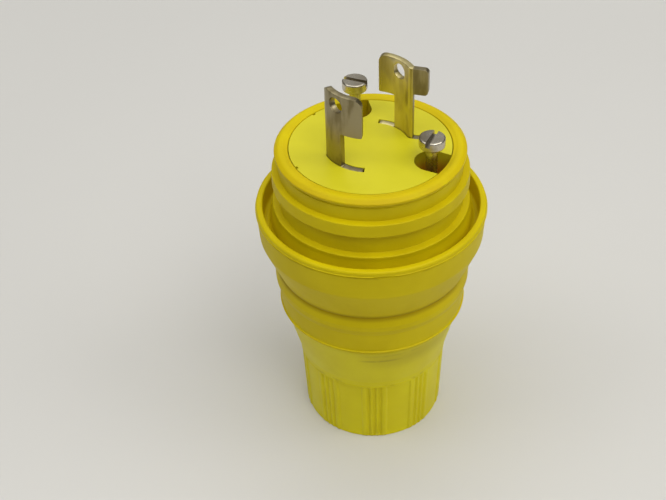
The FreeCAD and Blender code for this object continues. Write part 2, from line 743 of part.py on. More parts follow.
def make_terminal_screw(name):
    """Slotted terminal screw that lies along a radius, its head towards the housing wall."""
    body = new_body(f"{name}_terminal_screw")
    seat = f"{BLADE_OUTER} + wire_gap + clamp_thickness + seat_gap"
    section = new_sketch(body, "TerminalSection", "XY_Plane", "terminal_height", f"{name}_tail_angle")
    outline(section, [
        (f"{seat} - terminal_shank_length", "0"),
        (f"{seat} - terminal_shank_length", "terminal_shank_radius"),
        (seat, "terminal_shank_radius"),
        (seat, "terminal_head_radius"),
        (f"{seat} + terminal_head_depth", "terminal_head_radius"),
        (f"{seat} + terminal_head_depth", "0"),
    ])
    turn_section(body, section, "H_Axis")
    driver = new_sketch(body, "DriverSlot", "XY_Plane", "terminal_height", f"{name}_tail_angle")
    rectangle(driver, f"{seat} + terminal_head_depth / 2", f"{seat} + terminal_head_depth + over_run",
              "screw_slot_width / 2")
    cut_through(body, driver)
    return body


def make_assembly_screw(name, side):
    """Long slotted screw, waisted under its head so that the washer below keeps it captive."""
    body = new_body(f"{name}_assembly_screw")
    section = new_sketch(body, "ScrewSection", "XZ_Plane")
    outline(section, [
        ("0", "0 - screw_length"),
        ("screw_thread_radius - screw_point", "0 - screw_length"),
        ("screw_thread_radius", "screw_point - screw_length"),
        ("screw_thread_radius", "0 - screw_neck_length"),
        ("screw_neck_radius", "0 - screw_neck_length"),
        ("screw_neck_radius", "0"),
        ("screw_head_radius", "0"),
        ("screw_head_radius", "screw_head_depth"),
        ("0", "screw_head_depth"),
    ])
    turn_section(body, section)
    soften(body, "HeadRound", "screw_head_round",
           [ring_point(mm("screw_head_radius"), mm("screw_head_depth"))])
    driver = new_sketch(body, "DriverSlot", "XY_Plane", "screw_head_depth", f"{name}_slot_angle")
    reach = "screw_head_radius + over_run"
    rectangle(driver, f"0 - ( {reach} )", reach, "screw_slot_width / 2")
    cut_down(body, driver, "screw_slot_depth")
    place_at_screw(body, side, f"{FACE_TOP} + {name}_screw_lift")
    return body


def make_screw_washer(name, side):
    """Retaining washer that rests on the shoulder where the screw's thread starts."""
    washer = ring_body(f"{name}_screw_washer", "screw_neck_radius + running_gap", "washer_radius",
                       "0", "washer_thickness")
    place_at_screw(washer, side, f"{FACE_TOP} + {name}_screw_lift - screw_neck_length + seat_gap")
    return washer


def make_insert_gasket():
    """Flat rubber ring between the housing's top edge and the face."""
    return ring_body("insert_gasket", "mouth_radius - seat_gap - gasket_wall", "mouth_radius - seat_gap",
                     HOUSING_TOP, FACE_FOOT)


def make_neck_seal():
    """Rubber ring round the neck, between the boot's foot and the nut's thread tube."""
    ring = doc.addObject("Part::Torus", "NeckSeal")
    ring.Label = "neck_seal_ring"
    bind(ring, "Radius1", "neck_radius + seat_gap + seal_tube_radius")
    bind(ring, "Radius2", "seal_tube_radius")
    bind(ring, "Placement.Base.z", f"( {BOOT_FOOT} + nut_tube_top ) / 2")
    return ring


def make_grommet():
    """Black rubber bush that grips the cord inside the neck, tapered at its upper end."""
    body = new_body("cord_grommet")
    top = f"{HOUSING_FOOT} + grommet_stop - seat_gap"
    section = new_sketch(body, "GrommetSection", "XZ_Plane")
    outline(section, [
        ("cord_radius", "grommet_foot_height"),
        ("grommet_radius", "grommet_foot_height"),
        ("grommet_radius", f"{top} - grommet_taper_length"),
        ("grommet_nose_radius", top),
        ("cord_radius", top),
    ])
    turn_section(body, section)
    return body


def make_slip_washer():
    """Nylon washer between nut and grommet, so that the turning nut doesn't drag the grommet."""
    foot = "nut_seat_height + seat_gap"
    return ring_body("slip_washer", "slip_bore_radius", "slip_radius", foot, f"{foot} + slip_thickness")


def make_cord_nut():
    """Yellow nylon cord nut: bell-mouthed foot, thread tube, flared skirt, groups of grip ribs."""
    body = new_body("cord_nut")
    skirt_top = f"{BOOT_FOOT} - nut_top_gap"
    thread = "neck_radius + running_gap"
    section = new_sketch(body, "NutSection", "XZ_Plane")
    outline(section, [
        ("nut_bell_radius", "0"),
        ("nut_foot_radius", "0"),
        ("nut_band_radius", "nut_band_height"),
        ("nut_shoulder_radius", "nut_shoulder_height"),
        ("nut_top_radius", skirt_top),
        ("nut_top_radius - nut_skirt_wall", skirt_top),
        ("nut_core_radius", "nut_core_floor"),
        (f"{thread} + nut_tube_wall", "nut_core_floor"),
        (f"{thread} + nut_tube_wall", "nut_tube_top"),
        (thread, "nut_tube_top"),
        (thread, "nut_seat_height"),
        ("nut_throat_radius", "nut_seat_height"),
        ("nut_throat_radius", "nut_throat_height"),
    ])
    turn_section(body, section)
    soften(body, "FootRound", "nut_foot_round", [ring_point(mm("nut_foot_radius"), 0)])
    soften(body, "ShoulderRound", "nut_shoulder_round",
           [ring_point(mm("nut_shoulder_radius"), mm("nut_shoulder_height"))])
    cuts = [("Panel", "rib_group_angle + 180 / rib_groups", "360 / rib_groups - 2 * rib_group_half_angle",
             "panel_sink")]
    for step in (-1, 0, 1):
        middle = f"rib_group_angle + {step} * rib_pitch_angle"
        cuts.append((f"Flute{step + 2}", middle, "flute_angle", "flute_sink"))
    grooves = []
    for name, turn, sweep, sink in cuts:
        cut = new_sketch(body, name, "XZ_Plane", "0", turn)
        outline(cut, [
            (f"nut_foot_radius - {sink}", "0 - over_run"),
            ("nut_top_radius", "0 - over_run"),
            ("nut_top_radius", "nut_band_height"),
            (f"nut_band_radius - {sink}", "nut_band_height"),
            (f"nut_foot_radius - {sink}", "0"),
        ])
        grooves.append(groove_part_way(body, cut, sweep))
    doc.recompute()
    before = body.Shape.Volume
    pattern = body.newObject("PartDesign::PolarPattern", "RibGroups")
    pattern.Originals = grooves
    pattern.Axis = (origin_feature(body, "Z_Axis"), [""])
    pattern.Angle = 360
    bind(pattern, "Occurrences", "rib_groups")
    body.Tip = pattern
    check_cut(body, before, "the pattern of rib groups")
    return body


subparts = [make_boot(), make_housing(), make_thread_inserts(), make_face_insert(), make_rear_insulator(),
            make_retainer_screws(), make_insert_gasket(), make_neck_seal(), make_grommet(),
            make_slip_washer(), make_cord_nut(), make_hook_blade(), make_wide_blade()]
for pole in ("hook", "wide"):
    subparts.append(make_clamp(pole))
    subparts.append(make_terminal_screw(pole))
for screw_name, screw_side in SCREW_SIDES:
    subparts.append(make_assembly_screw(screw_name.lower(), screw_side))
    subparts.append(make_screw_washer(screw_name.lower(), screw_side))
doc.recompute()

for item in doc.Objects:
    if "Invalid" in item.State or "Error" in item.State:
        raise RuntimeError(f"{item.Label} failed: {item.State}")
for subpart in subparts:
    if subpart.Shape.isNull() or not subpart.Shape.isValid():
        raise RuntimeError(f"{subpart.Label} has no valid shape")

os.makedirs("parts", exist_ok=True)
for subpart in subparts:
    subpart.Shape.exportStep(f"parts/{subpart.Label}.step")
    box = subpart.Shape.BoundBox
    print(f"{subpart.Label}: {len(subpart.Shape.Solids)} solid, {subpart.Shape.Volume:.0f} mm3, "
          f"z {box.ZMin:.2f} to {box.ZMax:.2f}")
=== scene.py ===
import math

import bmesh
import bpy
from mathutils import Euler, Matrix, Vector


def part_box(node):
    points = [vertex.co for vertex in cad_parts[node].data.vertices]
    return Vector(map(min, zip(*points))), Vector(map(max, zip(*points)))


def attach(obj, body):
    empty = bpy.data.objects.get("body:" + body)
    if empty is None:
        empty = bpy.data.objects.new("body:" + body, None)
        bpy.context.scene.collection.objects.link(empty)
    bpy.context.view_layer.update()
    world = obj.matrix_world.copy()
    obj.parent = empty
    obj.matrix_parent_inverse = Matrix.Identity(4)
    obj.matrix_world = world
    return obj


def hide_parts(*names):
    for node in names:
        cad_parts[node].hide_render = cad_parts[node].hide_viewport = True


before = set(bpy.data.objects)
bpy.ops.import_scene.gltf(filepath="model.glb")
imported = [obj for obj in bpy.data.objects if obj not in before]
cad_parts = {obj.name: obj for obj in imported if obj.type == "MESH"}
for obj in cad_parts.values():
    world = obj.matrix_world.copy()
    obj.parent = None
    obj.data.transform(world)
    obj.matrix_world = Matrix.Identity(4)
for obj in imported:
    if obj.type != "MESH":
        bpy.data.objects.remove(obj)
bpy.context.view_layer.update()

# Rubber boot
# Yellow elastomer moulding that covers the plug from its face to the cord nut: a rolled lip, two
# sealing beads, a cup with a flange, a waist and a collar. The mould parts at the flange, where it leaves
# a thin, broken line of flash, and the foot ends in a thin flared edge.

MM = 0.001
WELD_DISTANCE = 0.0005 * MM
SHARP_ANGLE = math.radians(35)
EDGE_GUARD = 0.12


def heights(node):
    """The lowest and the highest level of a solid, in millimetres."""
    return [corner.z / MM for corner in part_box(node)]


def srgb(red, green, blue):
    """A colour as it is read off a screen, from 0 to 255, in the linear values that shaders use."""
    return (*[((value / 255 + 0.055) / 1.055) ** 2.4 for value in (red, green, blue)], 1.0)


def add_node(tree, kind, inputs=None, **settings):
    """Adds a node. Each input is given by name or number, as a value or as another node's output."""
    node = tree.nodes.new(kind)
    for name, value in settings.items():
        setattr(node, name, value)
    for name, value in (inputs or {}).items():
        if isinstance(value, bpy.types.NodeSocket):
            tree.links.new(value, node.inputs[name])
        else:
            node.inputs[name].default_value = value
    return node


def calculate(tree, operation, first, second=0.0):
    """One step of arithmetic on values that change over the piece."""
    return add_node(tree, "ShaderNodeMath", {0: first, 1: second}, operation=operation).outputs[0]


def count(tree, operation, first, second):
    """One step of arithmetic on whole numbers."""
    return add_node(tree, "FunctionNodeIntegerMath", {0: first, 1: second}, operation=operation).outputs[0]


def ramp(tree, value, low, high):
    """A smooth rise from 0 to 1 while a value goes from low to high."""
    return add_node(tree, "ShaderNodeMapRange", {"Value": value, "From Min": low, "From Max": high},
                    interpolation_type="SMOOTHSTEP").outputs[0]


def vector_of(tree, x, y, z):
    return add_node(tree, "ShaderNodeCombineXYZ", {0: x, 1: y, 2: z}).outputs[0]


def new_group(name, kind, inputs, outputs):
    """An empty node group with named inputs and outputs: its tree and its two end nodes' sockets."""
    tree = bpy.data.node_groups.new(name, kind)
    for label, socket, value in inputs:
        made = tree.interface.new_socket(label, in_out="INPUT", socket_type="NodeSocket" + socket)
        if value is not None:
            made.default_value = value
    for label, socket in outputs:
        tree.interface.new_socket(label, in_out="OUTPUT", socket_type="NodeSocket" + socket)
    return tree, tree.nodes.new("NodeGroupInput").outputs, tree.nodes.new("NodeGroupOutput").inputs


def outline_point(tree, holder, index):
    """The three coordinates of one point of the mesh that holds an outline."""
    points = add_node(tree, "GeometryNodeObjectInfo", {"Object": holder}).outputs["Geometry"]
    place = add_node(tree, "GeometryNodeInputPosition").outputs[0]
    sample = add_node(tree, "GeometryNodeSampleIndex", {"Geometry": points, "Value": place, "Index": index},
                      data_type="FLOAT_VECTOR")
    return add_node(tree, "ShaderNodeSeparateXYZ", {0: sample.outputs[0]}).outputs


def even_angle(tree, given, column):
    """The angle of one of the equal steps round the piece."""
    return calculate(tree, "DIVIDE", calculate(tree, "MULTIPLY", column, math.tau), given["Around"])


def broken_flash(tree, given, column, height):
    """Where the flash of the mould's parting line stands: patchy, and torn off over one gap."""
    angle = even_angle(tree, given, column)
    ring = vector_of(tree, calculate(tree, "COSINE", angle), calculate(tree, "SINE", angle), height)
    patches = add_node(tree, "ShaderNodeTexNoise", {"Vector": ring, "Scale": 2.3, "Detail": 3.0}).outputs[0]
    edge = calculate(tree, "SUBTRACT", 1.0, given["Cover"])
    patchy = ramp(tree, patches, edge, calculate(tree, "ADD", edge, 0.12))
    facing = calculate(tree, "COSINE", calculate(tree, "SUBTRACT", angle, given["Gap Angle"]))
    whole = ramp(tree, facing, calculate(tree, "COSINE", given["Gap Half Angle"]),
                 calculate(tree, "COSINE", calculate(tree, "MULTIPLY", given["Gap Half Angle"], 1.3)))
    return angle, calculate(tree, "MULTIPLY", patchy, whole)


def turned_place(tree, angle, radius, height):
    """The place of a point at an angle round Z, a radius from it and a height."""
    across = calculate(tree, "MULTIPLY", calculate(tree, "COSINE", angle), radius)
    deep = calculate(tree, "MULTIPLY", calculate(tree, "SINE", angle), radius)
    return vector_of(tree, across, deep, height)


def end_tree(tree, given, result, geometry):
    """Ends a tree with real geometry in the piece's material."""
    whole = add_node(tree, "GeometryNodeRealizeInstances", {"Geometry": geometry}).outputs[0]
    dressed = add_node(tree, "GeometryNodeSetMaterial", {"Geometry": whole, "Material": given["Material"]})
    tree.links.new(dressed.outputs[0], result[0])
    return tree


def build_turned_tree(name, extra_inputs, relief):
    """A tree that turns a section round Z and merges its seam and poles. Relief adds the nodes for
    the angle of each column and for how much of the section's own relief stands there."""
    tree, given, result = new_group(name, "GeometryNodeTree", [
        ("Section", "Object", None), ("Section Points", "Int", 8), ("Around", "Int", 96),
        ("Unevenness", "Float", 0.0), ("True Within", "Float", 0.0), *extra_inputs,
        ("Material", "Material", None)], [("Geometry", "Geometry")])
    rows = given["Section Points"]
    columns = count(tree, "ADD", given["Around"], 1)
    grid = add_node(tree, "GeometryNodeMeshGrid", {"Vertices X": columns, "Vertices Y": rows}).outputs[0]
    index = add_node(tree, "GeometryNodeInputIndex").outputs[0]
    column = count(tree, "DIVIDE", index, rows)
    radius, proud, height = outline_point(tree, given["Section"], count(tree, "MODULO", index, rows))
    angle, share = relief(tree, given, column, height)
    place = turned_place(tree, angle, radius, height)
    slow = add_node(tree, "ShaderNodeTexNoise", {"Vector": place, "Scale": 70.0, "Detail": 1.0}).outputs[0]
    free = calculate(tree, "GREATER_THAN", radius, given["True Within"])
    sink = calculate(tree, "MULTIPLY", calculate(tree, "MULTIPLY", slow, given["Unevenness"]), free)
    stand = calculate(tree, "ADD", radius, calculate(tree, "MULTIPLY", proud, share))
    final = turned_place(tree, angle, calculate(tree, "SUBTRACT", stand, sink), height)
    turned = add_node(tree, "GeometryNodeSetPosition", {"Geometry": grid, "Position": final}).outputs[0]
    merged = add_node(tree, "GeometryNodeMergeByDistance", {
        "Geometry": turned, "Distance": WELD_DISTANCE}).outputs[0]
    return end_tree(tree, given, result, merged)


def new_piece(name, mesh):
    piece = bpy.data.objects.new(name, mesh)
    bpy.context.scene.collection.objects.link(piece)
    return piece


def keep_result(piece):
    """Turns a piece's modifiers into plain mesh, and removes them."""
    bpy.context.view_layer.update()
    evaluated = piece.evaluated_get(bpy.context.evaluated_depsgraph_get())
    mesh = bpy.data.meshes.new_from_object(evaluated)
    piece.modifiers.clear()
    piece.data = mesh
    return piece


def shade_round(mesh):
    """Shades a mesh smooth, up to the angle at which an edge counts as sharp."""
    mesh.shade_smooth()
    mesh.set_sharp_from_angle(angle=SHARP_ANGLE)


def settle(piece):
    """Keeps what a piece's modifiers make, and shades it smooth."""
    keep_result(piece)
    shade_round(piece.data)
    return piece


def add_tree(piece, tree, values):
    """Runs a tree on a piece, with its inputs set by their sockets' identifiers."""
    modifier = piece.modifiers.new(tree.name, "NODES")
    modifier.node_group = tree
    for item in tree.interface.items_tree:
        if item.item_type == "SOCKET" and item.in_out == "INPUT" and item.name in values:
            modifier[item.identifier] = values[item.name]
    return settle(piece)


def arc_points(before, corner, after, radius):
    """Points of the arc that rounds one corner of an outline."""
    into, away = (before - corner).normalized(), (after - corner).normalized()
    half = into.angle(away) / 2
    centre = corner + (into + away).normalized() * (radius / math.sin(half))
    first = corner + into * (radius / math.tan(half)) - centre
    last = corner + away * (radius / math.tan(half)) - centre
    turn = first.angle(last)
    steps = max(2, math.ceil(turn / math.radians(12)))
    points = []
    for step in range(steps + 1):
        near, far = math.sin((1 - step / steps) * turn), math.sin(step / steps * turn)
        points.append(centre + (first * near + last * far) / math.sin(turn))
    return points


def outline(corners, closed=True, longest=2.5):
    """An outline in millimetres. A corner is a radius, a height and a rounding, which becomes an arc.
    Long runs are divided, with a point close to each end, so that flat walls are shaded flat."""
    places = [Vector(corner[:2]) for corner in corners]
    total = len(places)
    arcs = []
    for index, (radius, height, rounding) in enumerate(corners):
        before, here, after = places[index - 1], places[index], places[(index + 1) % total]
        arcs.append(arc_points(before, here, after, rounding) if rounding else [here])
    points = []
    for index in range(total):
        points += arcs[index]
        if index == total - 1 and not closed:
            break
        start, end = arcs[index][-1], arcs[(index + 1) % total][0]
        run = (end - start).length
        if run > 4 * EDGE_GUARD:
            steps = math.ceil(run / longest)
            guard = EDGE_GUARD / run
            shares = [guard, *[step / steps for step in range(1, steps)], 1 - guard]
            points += [start.lerp(end, share) for share in shares]
    if closed:
        points.append(points[0])
    area = sum(here.x * there.y - there.x * here.y for here, there in zip(points, points[1:]))
    return points if area > 0 else points[::-1]


def turned_piece(name, tree, points, material, proud=None, **values):
    """A piece turned from an outline. Proud says how far relief stands out at a point of it."""
    rows = [(point.x * MM, proud(point) * MM if proud else 0.0, point.y * MM) for point in points]
    holder = new_piece("outline", bpy.data.meshes.new("outline"))
    holder.data.from_pydata(rows, [], [])
    inputs = {label.replace("_", " "): value for label, value in values.items()}
    piece = add_tree(new_piece(name, bpy.data.meshes.new(name)), tree, {
        "Section": holder, "Section Points": len(rows), "Material": material, **inputs})
    bpy.data.objects.remove(holder)
    return piece


def dress(piece, body, slot, *nodes):
    """Puts a finished piece on its body, in place of its solids."""
    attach(piece, body)
    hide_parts(*nodes)


def new_material(name):
    material = bpy.data.materials.new(name)
    material.use_nodes = True
    return material, material.node_tree, material.node_tree.nodes["Principled BSDF"]


def build_mould_skin():
    """Shader group: slow blotches of colour and the fine tooth of a moulded surface."""
    tree, given, result = new_group("mould_skin", "ShaderNodeTree", [
        ("Blotch Scale", "Float", 90.0), ("Tooth Scale", "Float", 2500.0)],
        [("Blotch", "Float"), ("Tooth", "Float")])
    place = add_node(tree, "ShaderNodeTexCoord").outputs["Object"]
    for label in ("Blotch", "Tooth"):
        noise = add_node(tree, "ShaderNodeTexNoise", {
            "Vector": place, "Scale": given[label + " Scale"], "Detail": 4.0})
        tree.links.new(noise.outputs[0], result[label])
    return tree


def build_grime_and_shade_ring():
    """Shader group: patches at one height, most on one side: dirt that handling leaves, and painted shade."""
    tree, given, result = new_group("grime_and_shade_ring", "ShaderNodeTree", [
        ("Height", "Float", 0.0), ("Spread", "Float", 0.001), ("Patch Scale", "Float", 120.0),
        ("Cover", "Float", 0.5), ("Angle", "Float", 0.0), ("Reach", "Float", -1.0)], [("Mask", "Float")])
    place = add_node(tree, "ShaderNodeTexCoord").outputs["Object"]
    across, deep, up = add_node(tree, "ShaderNodeSeparateXYZ", {0: place}).outputs
    away = calculate(tree, "ABSOLUTE", calculate(tree, "SUBTRACT", up, given["Height"]))
    band = ramp(tree, calculate(tree, "DIVIDE", away, given["Spread"]), 1.0, 0.0)
    turn = calculate(tree, "SUBTRACT", calculate(tree, "ARCTAN2", deep, across), given["Angle"])
    whole = calculate(tree, "MINIMUM", calculate(tree, "ADD", given["Reach"], 0.3), 1.0)
    side = ramp(tree, calculate(tree, "COSINE", turn), given["Reach"], whole)
    patch = add_node(tree, "ShaderNodeTexNoise", {
        "Vector": place, "Scale": given["Patch Scale"], "Detail": 6.0}).outputs[0]
    edge = calculate(tree, "SUBTRACT", 1.0, given["Cover"])
    low, high = calculate(tree, "SUBTRACT", edge, 0.12), calculate(tree, "ADD", edge, 0.12)
    patchy = ramp(tree, patch, low, high)
    mask = calculate(tree, "MULTIPLY", calculate(tree, "MULTIPLY", band, side), patchy)
    tree.links.new(mask, result["Mask"])
    return tree


MOULD_SKIN = build_mould_skin()
GRIME_AND_SHADE_RING = build_grime_and_shade_ring()


def mix_colours(tree, share, first, second):
    return add_node(tree, "ShaderNodeMix", {0: share, 6: first, 7: second}, data_type="RGBA").outputs[2]


def add_grime_and_shade(tree, tint, rings):
    """Lays rings of grime and of painted shade over a colour: height, spread, patch scale, cover, angle,
    reach, strength, colour.
    """
    for height, spread, scale, cover, angle, reach, strength, ring_colour in rings:
        ring = add_node(tree, "ShaderNodeGroup", node_tree=GRIME_AND_SHADE_RING)
        for label, value in (("Height", height * MM), ("Spread", spread * MM), ("Patch Scale", scale),
                             ("Cover", cover), ("Angle", math.radians(angle)), ("Reach", reach)):
            ring.inputs[label].default_value = value
        share = calculate(tree, "MULTIPLY", ring.outputs["Mask"], strength)
        tint = mix_colours(tree, share, tint, ring_colour)
    return tint


def moulded_material(name, colour, shade, roughness, tooth, rings=(), shine=0.4):
    """A moulded colour with slow blotches, rings of grime and painted shade, and a fine tooth in the surface.
    """
    material, tree, shader = new_material(name)
    shader.inputs["Specular IOR Level"].default_value = shine
    skin = add_node(tree, "ShaderNodeGroup", node_tree=MOULD_SKIN)
    blotch = ramp(tree, skin.outputs["Blotch"], 0.3, 0.7)
    tint = add_grime_and_shade(tree, mix_colours(tree, blotch, colour, shade), rings)
    tree.links.new(tint, shader.inputs["Base Color"])
    rough = add_node(tree, "ShaderNodeMapRange", {
        "Value": skin.outputs["Blotch"], "To Min": roughness - 0.06, "To Max": roughness + 0.08})
    tree.links.new(rough.outputs[0], shader.inputs["Roughness"])
    bump = add_node(tree, "ShaderNodeBump", {
        "Height": skin.outputs["Tooth"], "Strength": 0.4, "Distance": tooth * MM})
    tree.links.new(bump.outputs[0], shader.inputs["Normal"])
    return material


BOOT_FOOT, LIP_HEIGHT = heights("boot")
BOOT_FOOT_DROP = LIP_HEIGHT - BOOT_FOOT
RIM_DROP = 16.2
FLASH_DROP = 17.4
FLASH_HEIGHT = 0.16
RIM_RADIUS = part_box("boot")[1].x / MM - FLASH_HEIGHT
boot_corners = [
    (19.5, 0.3, 0.25), (20.9, 0, 3), (21.9, 0.02, 1.2), (22.9, 0.8, 0.25), (22.9, 1.3, 0.15),
    (22.1, 1.95, 0.1), (22.05, 2.3, 0), (22.2, 2.55, 0.1), (22.2, 5.95, 0.1), (23.75, 6.1, 0.25),
    (23.85, 9.55, 0.3), (22.4, 9.7, 0.2), (22.4, 14.9, 0.1), (24, 15.15, 0.25), (24.05, 16.2, 3),
    (24.75, 20.3, 1), (25.2, 21, 0.5), (26.4, 21, 0.5),
    (26.55, RIM_DROP, 0.4), (RIM_RADIUS - 0.1, RIM_DROP, 0.6), (RIM_RADIUS, FLASH_DROP - 0.12, 0),
    (RIM_RADIUS, FLASH_DROP, 0), (RIM_RADIUS - 0.3, FLASH_DROP + 0.15, 0),
    (RIM_RADIUS - 0.1, FLASH_DROP + 0.6, 0),
    (27.75, 24.4, 2), (24, 33.8, 0.2), (23.85, 34.1, 0), (24, 34.5, 0.4), (24.5, 36.7, 0.6),
    (24.45, 38, 0.3), (23.85, 39.8, 0.4),
    (23.4, BOOT_FOOT_DROP - 0.6, 0.1), (23.75, BOOT_FOOT_DROP - 0.42, 0.08),
    (23.7, BOOT_FOOT_DROP - 0.1, 0.1), (23.2, BOOT_FOOT_DROP, 0), (14.55, BOOT_FOOT_DROP, 0),
    (14.55, 44, 0), (19.5, 44, 0),
]


def boot_flash(point):
    """Flash stands at the flange's parting line."""
    return FLASH_HEIGHT if abs(LIP_HEIGHT - point.y - FLASH_DROP) < 0.01 else 0.0


SPLIT_SHELL = build_turned_tree("split_mould_shell", [
    ("Cover", "Float", 0.5), ("Gap Angle", "Float", 0.0), ("Gap Half Angle", "Float", 0.1)], broken_flash)
RUBBER_DIRT = srgb(206, 166, 20)
# Painted shade for the crease of the waist.
WAIST_PAINTED_SHADE = srgb(158, 130, 0)
# A greyish dark yellow, used both for smudges and for painted shade under overhangs.
SMUDGE_AND_PAINTED_SHADE = srgb(140, 112, 10)
BOOT_RUBBER = moulded_material("boot_rubber", srgb(216, 196, 3), srgb(208, 187, 2), 0.5, 0.02, rings=(
    (LIP_HEIGHT - 0.7, 1.3, 170.0, 0.62, 10, -0.2, 0.3, RUBBER_DIRT),
    (LIP_HEIGHT - 0.7, 1.3, 150.0, 0.55, -150, 0.2, 0.35, RUBBER_DIRT),
    # Painted shade in the crease of the waist, under the overhanging skirt.
    (LIP_HEIGHT - 34.1, 1.5, 60.0, 0.85, -125, -0.3, 0.75, WAIST_PAINTED_SHADE),
    # Painted shadow just under the flange's flash.
    (LIP_HEIGHT - 18, 0.5, 260.0, 0.4, -110, 0.3, 0.3, SMUDGE_AND_PAINTED_SHADE)), shine=0.12)
boot = turned_piece(
    "rubber_boot", SPLIT_SHELL,
    outline([(radius, LIP_HEIGHT - drop, rounding) for radius, drop, rounding in boot_corners]), BOOT_RUBBER,
    proud=boot_flash, Around=240, Unevenness=0.12 * MM, True_Within=20.5 * MM,
    Cover=0.88, Gap_Angle=math.radians(-84), Gap_Half_Angle=math.radians(4))
dress(boot, "plug", "yellow_rubber", "boot")

# Core housing and its thread inserts
# Rigid nylon cup moulded into the boot. Its threaded neck takes the cord nut, and its two bosses hold
# plain brass bushes for the assembly screws.


def helical_thread(tree, given, column, height):
    """A thread: relief that rises and falls once for each pitch, and climbs one pitch in a turn."""
    angle = even_angle(tree, given, column)
    climb = calculate(tree, "SUBTRACT", calculate(tree, "DIVIDE", height, given["Pitch"]),
                      calculate(tree, "DIVIDE", angle, math.tau))
    wave = calculate(tree, "ABSOLUTE", calculate(tree, "SUBTRACT", calculate(tree, "FRACT", climb), 0.5))
    flank = add_node(tree, "ShaderNodeMapRange", {"Value": wave, "From Min": 0.07, "From Max": 0.43})
    return angle, flank.outputs[0]


def thread_run(radius, low, high, step):
    """Corners close enough together, up a straight wall, to carry a thread."""
    steps = round((high - low) / step)
    return [(radius, low + (high - low) * index / steps, 0) for index in range(steps + 1)]


def thread_depth(low, high, pitch, depth, within, outside):
    """How far a thread's grooves go in at a point, on the wall between two radii. They run out over
    half a pitch at both ends."""
    def groove(point):
        if not within <= point.x <= outside:
            return 0.0
        ends = min(point.y - low, high - point.y) / (pitch / 2)
        return -depth * min(max(ends, 0.0), 1.0)
    return groove


def join_pieces(name, pieces):
    """Puts several pieces' meshes into one."""
    joined = bmesh.new()
    for piece in pieces:
        joined.from_mesh(piece.data)
    mesh = bpy.data.meshes.new(name)
    joined.to_mesh(mesh)
    joined.free()
    for material in pieces[0].data.materials:
        mesh.materials.append(material)
    for piece in pieces:
        bpy.data.objects.remove(piece)
    shade_round(mesh)
    return new_piece(name, mesh)


BLADE_AXIS = 38.7
SCREW_ANGLES = {"right": BLADE_AXIS - 64.5, "left": BLADE_AXIS + 64.5}
SCREW_CIRCLE = 15.7


def on_circle(radius, angle, height=0.0):
    """A place in metres from a radius and a height in millimetres and an angle in degrees."""
    turn = math.radians(angle)
    return Vector((radius * math.cos(turn), radius * math.sin(turn), height)) * MM


THREADED = build_turned_tree("threaded_turning", [("Pitch", "Float", 0.001)], helical_thread)
CORE_NYLON = moulded_material("core_nylon", srgb(208, 200, 52), srgb(198, 190, 44), 0.42, 0.012)
NECK_PITCH = 2.0
NECK_FOOT, CUP_TOP = heights("core_housing")
NECK_TOP = 38.05
CUP_FLOOR = 40.45
neck_thread = thread_depth(NECK_FOOT + 0.8, NECK_TOP - 2.5, NECK_PITCH, 0.75, within=14.4, outside=14.6)
core = turned_piece("housing_cup", THREADED, outline([
    (10.5, NECK_FOOT, 0.3), (14.5, NECK_FOOT, 0.6), *thread_run(14.5, NECK_FOOT + 1, NECK_TOP - 2, 0.25),
    (14.5, NECK_TOP, 0), (19.45, NECK_TOP, 0.3), (19.45, CUP_TOP, 0.3), (17.9, CUP_TOP, 0.3),
    (17.9, CUP_FLOOR, 0.5), (9.2, CUP_FLOOR, 0.3), (9.2, 38.65, 0.1), (10.5, 38.65, 0)]), CORE_NYLON,
    proud=neck_thread, Around=160, Pitch=NECK_PITCH * MM)
BOSS_TOP = CUP_FLOOR + 17.8


def at_both_screws(name, points, material):
    """The same turned piece at the place of each assembly screw."""
    pieces = []
    for angle in SCREW_ANGLES.values():
        piece = turned_piece(name, THREADED, points, material, Around=48)
        piece.data.transform(Matrix.Translation(on_circle(SCREW_CIRCLE, angle)))
        pieces.append(piece)
    return pieces


bosses = at_both_screws("screw_boss", outline([
    (0, CUP_FLOOR - 0.5, 0), (3.4, CUP_FLOOR - 0.5, 0), (3.4, BOSS_TOP, 0.3), (2.6, BOSS_TOP, 0.1),
    (2.6, CUP_FLOOR + 2, 0.2), (0, CUP_FLOOR + 2, 0)], closed=False), CORE_NYLON)
dress(join_pieces("housing_core", [core, *bosses]), "plug", "yellow_nylon", "core_housing")


def build_metal_grain():
    """Shader group: fine drawn lines along Z, and slow cloudy marks of handling and tarnish."""
    tree, given, result = new_group("metal_grain", "ShaderNodeTree", [
        ("Across Scale", "Float", 4000.0), ("Along Scale", "Float", 150.0), ("Cloud Length", "Float", 1.0)],
        [("Lines", "Float"), ("Cloud", "Float")])
    place = add_node(tree, "ShaderNodeTexCoord").outputs["Object"]
    stretch = vector_of(tree, given["Across Scale"], given["Across Scale"], given["Along Scale"])
    drawn = add_node(tree, "ShaderNodeVectorMath", {0: place, 1: stretch}, operation="MULTIPLY").outputs[0]
    lines = add_node(tree, "ShaderNodeTexNoise", {"Vector": drawn, "Scale": 1.0, "Detail": 3.0})
    squeeze = vector_of(tree, 1.0, 1.0, calculate(tree, "DIVIDE", 1.0, given["Cloud Length"]))
    longer = add_node(tree, "ShaderNodeVectorMath", {0: place, 1: squeeze}, operation="MULTIPLY").outputs[0]
    cloud = add_node(tree, "ShaderNodeTexNoise", {
        "Vector": longer, "Scale": 350.0, "Detail": 5.0, "Distortion": 0.2})
    tree.links.new(lines.outputs[0], result["Lines"])
    tree.links.new(cloud.outputs[0], result["Cloud"])
    return tree


METAL_GRAIN = build_metal_grain()


